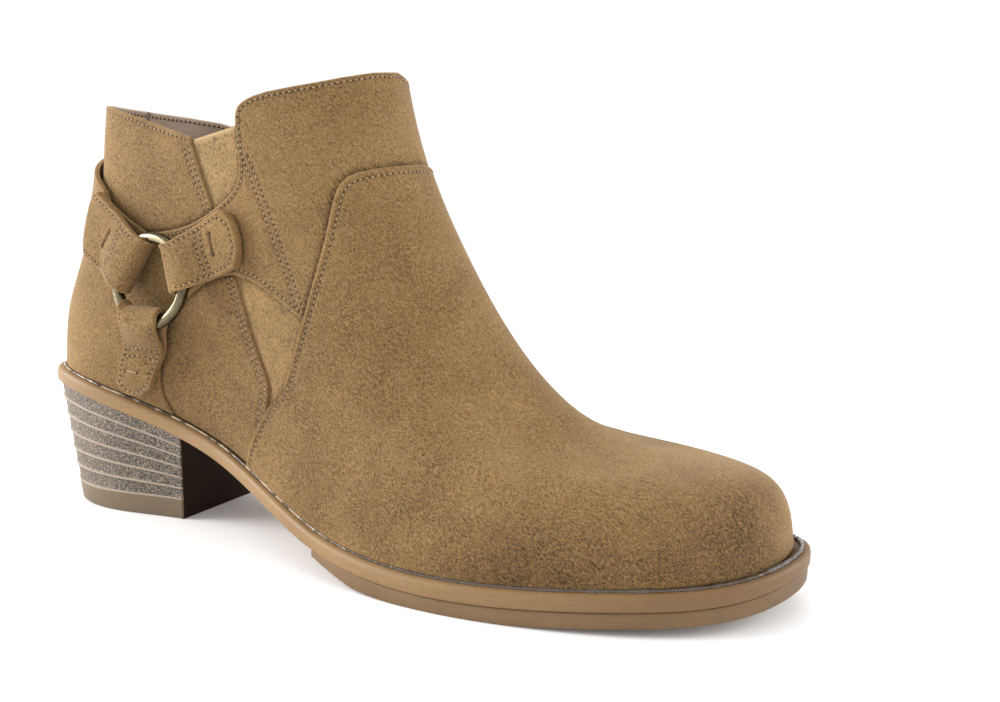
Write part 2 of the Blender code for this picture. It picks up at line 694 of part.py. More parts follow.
def turned_out(made):
    """Turns a body that came out inside out."""
    total = 0.0
    for face in made.data.polygons:
        ids = list(face.vertices)
        a = np.array(made.data.vertices[ids[0]].co)
        for i in range(1, len(ids) - 1):
            b = np.array(made.data.vertices[ids[i]].co)
            c = np.array(made.data.vertices[ids[i + 1]].co)
            total += a @ np.cross(b, c)
    if total < 0:
        made.data.flip_normals()


def main():
    for old in list(bpy.data.objects):
        bpy.data.objects.remove(old)
    nubuck = material("nubuck_tan", TAN, 0.85)
    elastic = material("gore_elastic", GOLD_TAN, 0.9)
    lining = material("lining_mauve", MAUVE, 0.8)
    strap_tan = material("strap_nubuck", TAN, 0.85)
    rand = material("rand_rubber", RAND_BROWN, 0.55)
    tread = material("tread_rubber", RAND_BROWN, 0.6)
    stack = material("stack_grey_brown", STACK_GREY, 0.7)
    lift = material("lift_rubber", LIFT_BROWN, 0.6)
    insole = material("insole_mauve", MAUVE, 0.8)
    brass = material("antique_brass", BRASS, 0.3, 1.0)
    frame = ring_frame()
    made = [make_upper([nubuck, elastic, lining]), make_insole([insole])]
    made += [make_rand([rand]), make_tread([tread])]
    made += make_heel([stack], [lift])
    made.append(make_ring(frame, [brass]))
    made += [make_strap(s, frame, [strap_tan]) for s in STRAPS]
    made.append(make_band([strap_tan]))
    rim = sole_outline(np.linspace(0, 16, 385))
    middle = (rim.min(0) + rim.max(0)) / 2
    for one in made:
        turned_out(one)
        one.data.transform(Matrix.Translation((-middle[0], -middle[1], 0)))


main()
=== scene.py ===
"""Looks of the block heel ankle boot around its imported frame: leather panels, stitching, soles and harness."""
import math
from collections import namedtuple

import bmesh
import bpy
import numpy as np
from mathutils import Matrix, Vector
from mathutils.geometry import delaunay_2d_cdt
from mathutils.kdtree import KDTree


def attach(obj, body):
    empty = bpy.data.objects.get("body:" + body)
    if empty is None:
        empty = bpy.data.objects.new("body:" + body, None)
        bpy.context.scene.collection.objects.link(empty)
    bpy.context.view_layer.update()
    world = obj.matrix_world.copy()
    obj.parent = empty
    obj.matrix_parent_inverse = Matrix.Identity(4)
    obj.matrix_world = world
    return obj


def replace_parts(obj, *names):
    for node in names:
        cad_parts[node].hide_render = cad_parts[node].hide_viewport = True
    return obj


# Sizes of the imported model, in metres
SOLE_LENGTH = 0.280
BALL_HALF = 0.050
HEEL_HEIGHT = 0.0465
RAND_THICK = 0.0052
TREAD_THICK = 0.0052
TREAD_START = 0.138
LEDGE = 0.0032
TOE_TUCK = 0.0026
HEEL_TOP_FRONT = 0.0715
HEEL_FOOT_FRONT = 0.066
HEEL_FOOT_BACK = 0.005
HEEL_FOOT_WIDTH = 0.74
HEEL_INSET = 0.0010
LIFT_THICK = 0.0076
STACK_BANDS = 6
INSOLE_THICK = 0.0024
INSOLE_MARGIN = 0.0012
COLLAR_HEIGHT = 0.158
WALL = 0.0023
GORE_STEP = -0.0013
QUARTER_STEP = -0.0006
SHAFT_STEP = 0.0
VAMP_STEP = 0.0007
RING_RADIUS = 0.0146
RING_LEAN = 0.0036
WIRE_RADIUS = 0.0019
PLY = 0.0015
STRAP_HALF = 0.0105
BAND_THICK = 0.0016
BAND_OFF = 0.0007
STRAP_OFF = 0.0011
RING_CLEAR = 0.0020
GAP = 0.0003

Station = namedtuple("Station", "along half swing rise")
STATIONS = [
    Station(0.000, 0.000, 0.000, 1.002),
    Station(0.038, 0.484, -0.018, 1.011),
    Station(0.146, 0.664, -0.022, 0.903),
    Station(0.309, 0.576, -0.016, 0.581),
    Station(0.500, 0.814, -0.116, 0.185),
    Station(0.691, 0.992, -0.040, 0.100),
    Station(0.854, 0.854, 0.032, 0.157),
    Station(0.962, 0.492, 0.060, 0.228),
    Station(1.000, 0.000, 0.090, 0.288),
]
Section = namedtuple("Section", "back back_up front front_up sag w1 w2 w3 w4 w5 w6 w7")
SECTIONS = [
    Section(0.016, 0.392, 0.979, 0.196, 1.00, 0.460, 0.630, 0.570, 0.690, 0.930, 0.810, 0.440),
    Section(0.020, 0.456, 0.951, 0.247, 0.85, 0.450, 0.620, 0.550, 0.630, 0.810, 0.730, 0.410),
    Section(0.033, 0.519, 0.869, 0.265, 0.65, 0.440, 0.606, 0.560, 0.590, 0.690, 0.610, 0.360),
    Section(0.049, 0.582, 0.768, 0.295, 0.45, 0.426, 0.590, 0.570, 0.580, 0.610, 0.510, 0.300),
    Section(0.066, 0.646, 0.695, 0.384, 0.28, 0.416, 0.580, 0.590, 0.600, 0.580, 0.460, 0.270),
    Section(0.083, 0.709, 0.639, 0.506, 0.12, 0.416, 0.576, 0.620, 0.620, 0.570, 0.440, 0.250),
    Section(0.096, 0.772, 0.594, 0.633, 0.05, 0.424, 0.584, 0.650, 0.650, 0.580, 0.440, 0.250),
    Section(0.105, 0.842, 0.554, 0.766, 0.00, 0.436, 0.606, 0.670, 0.680, 0.610, 0.450, 0.260),
    Section(0.114, 0.918, 0.525, 0.899, 0.00, 0.446, 0.620, 0.680, 0.700, 0.630, 0.470, 0.270),
    Section(0.121, 0.994, 0.504, 1.044, 0.00, 0.446, 0.620, 0.680, 0.710, 0.640, 0.480, 0.270),
]
# Edges on the upper: eighths round from the heel's back to the toe, share of the way up
COLLAR = [
    (0.0, 0.905), (0.8, 0.903), (1.64, 0.893), (2.7, 0.861), (3.66, 0.827), (3.67, 0.822),
    (4.07, 0.840), (4.50, 0.858), (4.51, 0.862), (4.52, 0.872), (4.55, 0.884), (4.60, 0.8935), (4.67, 0.9005),
    (4.76, 0.9065), (4.88, 0.9125),
    (5.10, 0.920), (5.57, 0.930), (6.46, 0.946), (7.2, 0.957), (8.0, 0.964),
]
QUARTER_FRONT = [
    (3.665, 0.824), (3.74, 0.748), (3.80, 0.673), (3.84, 0.601), (3.88, 0.53), (3.89, 0.413),
    (3.80, 0.30), (3.62, 0.215), (3.50, 0.15), (3.44, 0.06), (3.42, 0.0),
]
SHAFT_EDGE = [
    (4.505, 0.862), (4.44, 0.791), (4.34, 0.751), (4.20, 0.726), (3.86, 0.684), (3.3, 0.62),
    (2.6, 0.56), (1.4, 0.49), (0.0, 0.46),
]
COUNTER_FRONT = [
    (2.62, 0.0), (2.53, 0.04), (2.51, 0.102), (2.56, 0.177), (2.68, 0.278), (2.86, 0.356),
    (3.14, 0.437), (3.45, 0.500), (3.75, 0.536), (4.12, 0.548), (4.50, 0.523), (4.69, 0.507),
]
VAMP_EDGE = [
    (8.0, 0.820), (7.01, 0.810), (6.4, 0.797), (6.1, 0.785), (5.88, 0.765), (5.70, 0.735),
    (5.51, 0.695), (5.19, 0.625), (4.64, 0.486), (4.2, 0.365), (3.72, 0.230), (3.45, 0.13),
    (3.33, 0.06), (3.27, 0.0),
]
Strap = namedtuple(
    "Strap", "name heading aside reach half near_round near_up far_round far_up over_band"
)
STRAPS = [
    Strap("strap_rear", 150.0, -0.05, 0.43, 0.98, 1.60, 0.415, 1.62, 0.660, True),
    Strap("strap_front", 19.0, 0.09, 0.57, 0.79, 4.20, 0.704, 4.18, 0.585, False),
    Strap("strap_down", 270.0, -0.15, 0.58, 0.80, 2.47, 0.036, 2.19, 0.006, False),
]
RING_ROUND = 2.83
RING_UP = 0.447
RING_OFF = RING_CLEAR + PLY + GAP + WIRE_RADIUS
BAND = [(0.0, 0.665), (0.7, 0.640), (1.3, 0.590), (1.95, 0.535)]
BAND_HALF = 0.098

# Sizes of the looks: edges and seams, stitches, spacing of points, rows from their edge, strap and heel details
EDGE_ROUND = 0.0007
FURROW = 0.00026
PITCH = 0.0019
THREAD = 0.00021
HOLE = 0.00046
LEATHER_BACK = -0.0015
LINE_GAP = 0.0006
OUTLINE_GAP = 0.0007
CLOSE_GAP = 0.0005
FACE_GAP = 0.00125
CROWN_IN, CROWN_HALF = 0.0011, 0.0007
FURROW_HALF = 0.00055
DIP, DIP_HALF = 0.00035, 0.0008
HEM = 0.0012
EDGE_ROW = 0.0015
VAMP_ROW = 0.0024
QUARTER_ROWS = 0.0016, 0.0036
STRAP_ROUND = 0.0006
BAND_HIGH = 0.0125
BAND_ROW = 0.0022
BAND_POINTS = 220
ROW_SINK = 0.00022
HEEL_LINE = 0.0009
HEEL_CORNER = 0.0006


# Splines and the upper's surface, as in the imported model
def natural_spline(xs, ys, at):
    """Values of the natural cubic through (xs, ys) at each of `at`."""
    xs = np.asarray(xs, float)
    ys = np.asarray(ys, float)
    flat = ys.reshape(len(xs), -1)
    count = len(xs)
    step = np.diff(xs)
    rows = np.eye(count)
    right = np.zeros_like(flat)
    for i in range(1, count - 1):
        rows[i, i - 1:i + 2] = step[i - 1], 2 * (step[i - 1] + step[i]), step[i]
        right[i] = 6 * ((flat[i + 1] - flat[i]) / step[i] - (flat[i] - flat[i - 1]) / step[i - 1])
    bend = np.linalg.solve(rows, right)
    at = np.asarray(at, float)
    i = np.clip(np.searchsorted(xs, at) - 1, 0, count - 2)
    t = (at - xs[i])[:, None]
    h = step[i][:, None]
    slope = (flat[i + 1] - flat[i]) / h - h * (2 * bend[i] + bend[i + 1]) / 6
    out = flat[i] + slope * t + bend[i] / 2 * t**2 + (bend[i + 1] - bend[i]) / (6 * h) * t**3
    return out.reshape((len(at),) + ys.shape[1:])


def closed_spline(rows, at):
    """One point per row on the closed cubic through that row's columns, at column number `at`."""
    rows = np.asarray(rows, float)
    count = rows.shape[1]
    square = 4 * np.eye(count) + np.roll(np.eye(count), 1, 0) + np.roll(np.eye(count), -1, 0)
    kink = 6 * (np.roll(rows, -1, 1) - 2 * rows + np.roll(rows, 1, 1))
    bend = np.matmul(np.linalg.inv(square), kink)
    at = np.asarray(at, float) % count
    i = np.floor(at).astype(int) % count
    j = (i + 1) % count
    t = (at - np.floor(at))[:, None]
    n = np.arange(len(rows))
    p, q, a, b = rows[n, i], rows[n, j], bend[n, i], bend[n, j]
    return p + (q - p - (2 * a + b) / 6) * t + a / 2 * t**2 + (b - a) / 6 * t**3


def sole_rise(x):
    """Height of the rand's under side at each x."""
    xs = [s.along * SOLE_LENGTH for s in STATIONS]
    return natural_spline(xs, [s.rise * HEEL_HEIGHT for s in STATIONS], np.clip(x, 0, SOLE_LENGTH))


def sole_swing(x):
    """Sideways place of the sole's middle line at each x."""
    xs = [s.along * SOLE_LENGTH for s in STATIONS]
    return natural_spline(xs, [s.swing * BALL_HALF for s in STATIONS], np.clip(x, 0, SOLE_LENGTH))


def sole_outline(at, inset=0.0):
    """Points of the sole's outline at places 0..16 round, moved inwards by `inset`."""
    ring = []
    for k in range(16):
        s = STATIONS[min(k, 16 - k)]
        side = -1 if k <= 8 else 1
        ring.append((s.along * SOLE_LENGTH, (s.swing + side * s.half) * BALL_HALF))
    rows = np.repeat(np.array(ring)[None], len(at), 0)
    here = closed_spline(rows, at)
    way = closed_spline(rows, np.asarray(at) + 0.01) - closed_spline(rows, np.asarray(at) - 0.01)
    way /= np.linalg.norm(way, axis=1)[:, None]
    inset = np.broadcast_to(inset, len(at))[:, None]
    return here + inset * np.column_stack([-way[:, 1], way[:, 0]])


def place_at(x, inset=0.0):
    """Place round the lateral half of the outline where it reaches x."""
    at = np.linspace(0, 8, 1601)
    return float(at[np.abs(sole_outline(at, inset)[:, 0] - x).argmin()])


def control_net():
    """Section by section, 16 points round the upper's outside."""
    toe = np.exp(-((np.arange(16.0) - 8) / 1.1) ** 2)
    feather = sole_outline(np.arange(16.0), LEDGE + TOE_TUCK * toe)
    net = [np.column_stack([feather, sole_rise(feather[:, 0]) + RAND_THICK + GAP])]
    ends = sole_rise(np.array([0.0, SOLE_LENGTH]))
    for s in SECTIONS:
        widths = [0, s.w1, s.w2, s.w3, s.w4, s.w5, s.w6, s.w7, 0]
        row = []
        for k in range(16):
            j = min(k, 16 - k)
            side = -1 if k <= 8 else 1
            a = (1 - math.cos(j * math.pi / 8)) / 2
            x = (s.back + a * (s.front - s.back)) * SOLE_LENGTH - toe[k] * TOE_TUCK * max(0.0, 1 - len(net) / 4)
            z = (s.back_up + a * (s.front_up - s.back_up)) * COLLAR_HEIGHT
            dip = sole_rise(feather[j:j + 1, 0])[0] - (ends[0] * (1 - a) + ends[1] * a)
            y = sole_swing(np.array([x]))[0] + side * widths[j] * BALL_HALF
            row.append((x, y, z + s.sag * dip))
        net.append(np.array(row))
    return np.array(net)


NET = control_net()
GAPS_UP = np.linalg.norm(np.diff(NET, axis=0), axis=2).mean(1)
LEVELS = np.concatenate([[0], np.cumsum(GAPS_UP)]) / GAPS_UP.sum()


def run_of(points):
    """Length of a line up to each of its points."""
    return np.concatenate([[0], np.cumsum(np.linalg.norm(np.diff(points, axis=0), axis=1))])


def read_off(at, run, rows):
    """Rows between the given ones, at places of their run."""
    return np.column_stack([np.interp(at, run, column) for column in rows.T])


def upper_point(around, up):
    """Points of the upper's outside at places round and shares of the way up."""
    return closed_spline(natural_spline(LEVELS, NET, np.clip(up, 0, 1)), around)


def tangents(around, up):
    """The surface's two directions, per unit round and per unit up."""
    around, up = np.asarray(around, float), np.clip(up, 0.002, 0.998)
    along = (upper_point(around + 0.02, up) - upper_point(around - 0.02, up)) / 0.04
    rising = (upper_point(around, up + 0.002) - upper_point(around, up - 0.002)) / 0.004
    return along, rising


def unit(v):
    """Rows scaled to length one."""
    return v / np.maximum(np.linalg.norm(v, axis=-1, keepdims=True), 1e-12)


def upper_normal(around, up):
    """Outward unit normals; level at the feather line and at the collar."""
    out = unit(np.cross(*tangents(around, up)))
    out[:, 2] *= np.clip(np.clip(up, 0.002, 0.998) / 0.05, 0, 1)
    return unit(out)


def raised(around, up, height):
    """Points at a height over the upper's outside."""
    return upper_point(around, up) + upper_normal(around, up) * np.asarray(height)[..., None]


def tree_of(points):
    """A search tree over points."""
    tree = KDTree(len(points))
    for i, p in enumerate(points):
        tree.insert(p, i)
    tree.balance()
    return tree


def nearness(points, others):
    """Distance from each point to the nearest of the others."""
    if not len(others):
        return np.full(len(points), 1.0)
    tree = tree_of(others)
    return np.array([tree.find(p)[2] for p in points])


FOOT_U, FOOT_V = (axis.ravel() for axis in np.meshgrid(np.linspace(0, 16, 129)[:-1], np.linspace(0, 1, 51)))
FOOT_TREE = tree_of(upper_point(FOOT_U, FOOT_V))


def foot_of(points):
    """Place round, share up and height over the upper of each point."""
    points = np.asarray(points, float)
    near = [FOOT_TREE.find(p)[1] for p in points]
    u, v = FOOT_U[near], FOOT_V[near]
    for _ in range(12):
        here = upper_point(u, v)
        du = (upper_point(u + 0.01, v) - here) / 0.01
        dv = (upper_point(u, v + 0.001) - here) / 0.001
        d = points - here
        a, b, c = (du * du).sum(1), (du * dv).sum(1), (dv * dv).sum(1)
        p, q = (d * du).sum(1), (d * dv).sum(1)
        det = a * c - b * b
        u, v = u + (c * p - b * q) / det, v + (a * q - b * p) / det
    return u, v, ((points - upper_point(u, v)) * upper_normal(u, v)).sum(1)


RIM = sole_outline(np.linspace(0, 16, 385))
MIDDLE = (RIM.min(0) + RIM.max(0)) / 2


# Meshes
def hoops(rows, count, closed=False, start=0):
    """Quads round loops of points, and from the last loop to the first where closed."""
    faces = []
    for r in range(rows if closed else rows - 1):
        a, b = start + r * count, start + (r + 1) % rows * count
        for i in range(count):
            j = (i + 1) % count
            faces.append((a + i, b + i, b + j, a + j))
    return faces


def across(first, last, flip):
    """Faces from one side of a run of points straight across to its other side."""
    faces = []
    while last - first >= 2:
        face = (first, first + 1, last - 1, last) if last - first > 2 else (first, first + 1, last)
        faces.append(face[::-1] if flip else face)
        first, last = first + 1, last - 1
    return faces


def sheet_faces(rows, count):
    """Faces of an upper sheet of rows of points, of the sheet under it and of the edge all round."""
    size = rows * count
    end, last = count - 1, (rows - 1) * count
    faces = []
    for k in range(rows - 1):
        r, s = k * count, (k + 1) * count
        for i in range(count - 1):
            a, b, c, d = r + i, r + i + 1, s + i + 1, s + i
            faces.append((a, b, c, d))
            faces.append((size + d, size + c, size + b, size + a))
        faces.append((r, s, size + s, size + r))
        faces.append((s + end, r + end, size + r + end, size + s + end))
    for i in range(count - 1):
        faces.append((i + 1, i, size + i, size + i + 1))
        faces.append((last + i, last + i + 1, size + last + i + 1, size + last + i))
    return faces


def made_piece(name, points, faces, slots, slot, which=None, crease=50.0, marks=None):
    """A named mesh piece in the row frame that rides on the one body, with its point attributes."""
    mesh = bpy.data.meshes.new(name)
    mesh.from_pydata([(float(p[0] - MIDDLE[0]), float(p[1] - MIDDLE[1]), float(p[2])) for p in points], [], faces)
    for one in slots:
        mesh.materials.append(one)
    if which is not None:
        mesh.polygons.foreach_set("material_index", which)
    for key, values in (marks or {}).items():
        mesh.attributes.new(key, "FLOAT", "POINT").data.foreach_set("value", np.asarray(values, np.float32))
    mesh.shade_smooth()
    mesh.set_sharp_from_angle(angle=math.radians(crease))
    piece = bpy.data.objects.new(name, mesh)
    bpy.context.scene.collection.objects.link(piece)
    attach(piece, "root")
    return piece


def curve(table, fine=0.02):
    """A smooth line through a table of places, its points close together."""
    pts = np.array(table, float) * (1, 5)
    run = run_of(pts)
    return natural_spline(run, pts, np.linspace(0, run[-1], max(2, int(run[-1] / fine)))) / (1, 5)


def straight(table, fine=0.02):
    """Straight runs through a table of places, its points close together."""
    pts = np.array(table, float) * (1, 5)
    out = [pts[:1]]
    for p, q in zip(pts[:-1], pts[1:]):
        count = max(1, int(np.linalg.norm(q - p) / fine))
        out.append(p + (q - p) * np.linspace(0, 1, count + 1)[1:, None])
    return np.vstack(out) / (1, 5)


def mirrored(path):
    """The same line on the other side, run the other way."""
    return np.column_stack([16 - path[:, 0], path[:, 1]])[::-1]


def respaced(path, gap=LINE_GAP, closed=False):
    """The same line with points a given distance apart on the upper."""
    if closed:
        path = np.vstack([path, path[:1]])
    run = run_of(upper_point(*path.T))
    keep = np.concatenate([[True], np.diff(run) > 1e-9])
    count = max(2, int(round(run[-1] / gap)))
    at = np.linspace(0, run[-1], count + 1)
    out = read_off(at, run[keep], path[keep])
    return out[:-1] if closed else out


def beside(path, offset, closed=False):
    """The line moved sideways over the upper, to the left of its run, by metres."""
    if closed:
        around = np.vstack([path[-1:], path, path[:1]])
    else:
        around = np.vstack([2 * path[:1] - path[1:2], path, 2 * path[-1:] - path[-2:-1]])
    step = around[2:] - around[:-2]
    along, rising = tangents(path[:, 0], path[:, 1])
    way = along * step[:, :1] + rising * step[:, 1:]
    side = unit(np.cross(np.cross(along, rising), way))
    a, b, c = (along * along).sum(1), (along * rising).sum(1), (rising * rising).sum(1)
    p, q = (side * along).sum(1), (side * rising).sum(1)
    det = a * c - b * b
    shift = np.column_stack([(c * p - b * q) / det, (a * q - b * p) / det])
    return path + shift * np.broadcast_to(offset, len(path))[:, None]


def rolled(d, r):
    """How far a rounded edge of radius r has dropped at distance d inside it."""
    t = 1 - np.clip(d / r, 0, 1)
    return r * (1 - np.sqrt(np.clip(1 - t * t, 0, 1)))


# Soft creases of the upper: start and end places, sideways bow, depth (below zero for a ridge) and half width
Crease = namedtuple("Crease", "u0 v0 u1 v1 bow depth half")
CREASES = [
    Crease(5.25, 0.640, 6.60, 0.520, 0.004, 0.00045, 0.0045),
    Crease(5.10, 0.560, 6.70, 0.430, 0.005, -0.00035, 0.0050),
    Crease(4.95, 0.480, 6.60, 0.350, 0.006, 0.00040, 0.0050),
    Crease(5.00, 0.400, 6.30, 0.290, 0.004, -0.00030, 0.0045),
    Crease(6.45, 0.300, 7.40, 0.360, -0.006, -0.00035, 0.0040),
    Crease(6.60, 0.250, 7.55, 0.300, -0.006, 0.00030, 0.0040),
]


def creases(points, relief=CREASES):
    """Sum of the soft creases at each point of the upper."""
    total = np.zeros(len(points))
    for c in relief:
        t = np.linspace(0, 1, 36)
        bow = 4 * t * (1 - t) * c.bow
        line = np.column_stack([c.u0 + (c.u1 - c.u0) * t, c.v0 + (c.v1 - c.v0) * t])
        line = beside(line, bow)
        for side in (line, np.column_stack([16 - line[:, 0], line[:, 1]])):
            spots = upper_point(side[:, 0], side[:, 1])
            box = (np.abs(points - spots.mean(0)) < np.ptp(spots, 0) / 2 + 3 * c.half).all(1)
            near = points[box]
            if not len(near):
                continue
            gap = np.linalg.norm(near[:, None] - spots, axis=2)
            which = gap.argmin(1)
            fade = np.sin(np.pi * np.clip(0.04 + 0.92 * t[which], 0, 1)) ** 0.8
            total[box] -= c.depth * fade * np.exp(-(gap.min(1) / c.half) ** 2)
    return total


def lowness(places):
    """How close to the toe's and the ball's feather line each place is; the nubuck is made darker there."""
    front = np.clip((4.6 - np.abs(places[:, 0] - 8)) / 2.2, 0, 1)
    return front * np.clip(np.abs(places[:, 0] - 8) / 0.9, 0.2, 1) * np.exp(-(places[:, 1] / 0.16) ** 2)


class Panel:
    """A leather panel: its outline, height and seams, and the relief that the stitches follow."""

    def __init__(self, outline, step, rows=(), r=EDGE_ROUND, over=(), puff=0.00018):
        self.outline = respaced(outline, OUTLINE_GAP, True)
        self.step, self.r, self.puff = step, r, puff
        self.rows = [respaced(row) for row in rows]
        self.edge = upper_point(*self.outline.T)
        seams = [upper_point(*row.T) for row in self.rows]
        self.seams = np.vstack(seams) if seams else np.zeros((0, 3))
        self.edge_tree = tree_of(self.edge)
        self.seam_tree = tree_of(self.seams) if seams else None
        self.over = np.vstack([upper_point(*respaced(line, CLOSE_GAP).T) for line in over]) if len(over) else None

    def gaps(self, base):
        """Distances to the outline and to the nearest seam."""
        edge = np.array([self.edge_tree.find(p)[2] for p in base])
        if self.seam_tree is None:
            return edge, np.full(len(base), 1.0)
        return edge, np.array([self.seam_tree.find(p)[2] for p in base])

    def height(self, base, edge, seam):
        """Height over the upper's outside."""
        crown = self.puff * np.exp(-((edge - CROWN_IN) / CROWN_HALF) ** 2)
        furrow = FURROW * np.exp(-(seam / FURROW_HALF) ** 2)
        if self.over is not None:
            furrow = furrow + DIP * np.exp(-(nearness(base, self.over) / DIP_HALF) ** 2)
        return self.step - rolled(edge, self.r) + crown - furrow + creases(base)

    def place(self, path):
        """Points and normals on the panel's face along a line."""
        base = upper_point(*path.T)
        edge, seam = self.gaps(base)
        normal = upper_normal(*path.T)
        return base + normal * self.height(base, edge, seam)[:, None], normal

    def build(self, name, slots, slot, spacing=FACE_GAP, hem=None):
        """The panel's mesh: a fine face, an edge wall and a plain back."""
        ring = self.outline
        count = len(ring)
        sets = []
        for d in (0.00010, 0.00024, 0.00042, 0.00065, 0.0010):
            line = beside(ring, d, True)
            gap = nearness(upper_point(*line.T), self.edge)
            sets.append(line[gap > 0.8 * d])
        for row in self.rows:
            for d in (-0.00085, -0.0004, 0.0, 0.0004, 0.00085):
                sets.append(beside(row, d) if d else row)
        lines = np.vstack(sets)
        low, high = ring.min(0), ring.max(0)
        grid = []
        levels = np.arange(low[1], high[1], spacing / 0.155)
        for i, v in enumerate(levels):
            u = np.linspace(low[0], high[0], 1200)
            run = run_of(upper_point(u, np.full(1200, v)))
            at = np.arange(spacing * (0.25 + 0.5 * (i % 2)), run[-1], spacing)
            grid.append(np.column_stack([np.interp(at, run, u), np.full(len(at), v)]))
        grid = np.vstack(grid)
        taken = tree_of(np.vstack([upper_point(*lines.T), self.edge]))
        space = upper_point(*grid.T)
        grid = grid[[taken.find(p)[2] > 0.6 * spacing for p in space]]
        loose = np.vstack([lines, grid])
        top, faces = triangulated(ring, loose)
        coarse = grid[::11]
        back, back_faces = triangulated(ring, coarse)
        base = upper_point(*top.T)
        normal = upper_normal(*top.T)
        edge, seam = self.gaps(base)
        points = [base + normal * self.height(base, edge, seam)[:, None]]
        foot = upper_point(*back.T) + upper_normal(*back.T) * LEATHER_BACK
        points.append(foot)
        start = len(top)
        made = [tuple(f) for f in faces] + [tuple(start + i for i in f[::-1]) for f in back_faces]
        for i in range(count):
            j = (i + 1) % count
            made.append((j, i, start + i, start + j))
        marks = {"edge": np.exp(-edge / 0.0008), "seam": np.exp(-(seam / 0.0007) ** 2), "low": lowness(top)}
        if self.over is not None:
            marks["shade"] = np.exp(-(nearness(base, self.over) / 0.0009) ** 2)
        if hem is not None:
            gap = nearness(base, upper_point(*respaced(hem, CLOSE_GAP).T))
            marks["hem"] = np.clip((HEM - gap) / 0.0002, 0, 1)
            marks["shade"] = np.maximum(marks["shade"], np.exp(-((gap - HEM - 0.0004) / 0.0003) ** 2))
        marks = {key: np.append(values, np.full(len(back), float(key == "edge"))) for key, values in marks.items()}
        return made_piece(name, np.vstack(points), made, slots, slot, marks=marks)


def triangulated(ring, loose):
    """Triangles inside a closed line that use its points, first, and the loose points inside it."""
    points = [(float(u), float(v) * 5) for u, v in np.vstack([ring, loose])]
    out = delaunay_2d_cdt(points, [], [list(range(len(ring)))], 1, 1e-7, True)
    where = np.array([(p.x, p.y / 5) for p in out[0]])
    index = {}
    for new, olds in enumerate(out[3]):
        for old in olds:
            index.setdefault(old, new)
    order = [index[i] for i in range(len(ring))]
    kept = [face for face, owners in zip(out[2], out[5]) if owners]
    used = sorted(set(i for face in kept for i in face) - set(order))
    place = {old: new for new, old in enumerate(order + used)}
    faces = [[place[i] for i in face] for face in kept]
    return where[order + used], faces


# Stitches: thread arcs between needle holes, gathered into joined meshes
class Stitches:
    """Collects stitches along lines of points and normals."""

    def __init__(self):
        self.points, self.faces, self.which = [], [], []

    def tube(self, path, normal, radii, slot, sides=5, flat=1.0):
        """A closed small tube along a short path."""
        way = unit(np.gradient(path, axis=0))
        side = unit(np.cross(normal, way))
        start = len(self.points)
        count = len(path)
        for i in range(count):
            for k in range(sides):
                b = 2 * math.pi * k / sides
                self.points.append(path[i] + radii[i] * (math.cos(b) * side[i] + flat * math.sin(b) * normal[i]))
        loop = range(start, start + sides)
        made = hoops(count, sides, start=start) + [tuple(loop), tuple(i + (count - 1) * sides for i in loop)[::-1]]
        self.faces += made
        self.which += [slot] * len(made)

    def row(self, points, normals):
        """Stitches along a line."""
        run = run_of(points)
        count = max(1, int(round(run[-1] / PITCH)))
        at = np.linspace(0, run[-1], count + 1)

        def where(s):
            return read_off(s, run, points), unit(read_off(s, run, normals))
        for k in range(count):
            a, b = at[k], at[k + 1]
            s = a + (b - a) * np.array([0.20, 0.34, 0.66, 0.80])
            p, n = where(s)
            p = p + n * np.array([-0.00016, 0.00010, 0.00010, -0.00016])[:, None]
            self.tube(p, n, THREAD * np.array([0.75, 1.05, 1.05, 0.75]), 0)
        # Painted shade: each needle hole gets a flat near-black lens for the shade inside it.
        p, n = where(at)
        ahead = unit(np.gradient(points, axis=0))
        w = read_off(at, run, ahead)
        for k in range(count + 1):
            path = p[k] + w[k] * HOLE * np.array([-0.95, -0.45, 0.45, 0.95])[:, None]
            self.tube(path, np.repeat(n[k:k + 1], 4, 0), HOLE * np.array([0.35, 1.0, 1.0, 0.35]), 1, 6, 0.24)

    def build(self, name, slots, slot):
        """The joined mesh."""
        return made_piece(name, self.points, self.faces, slots, slot, self.which)


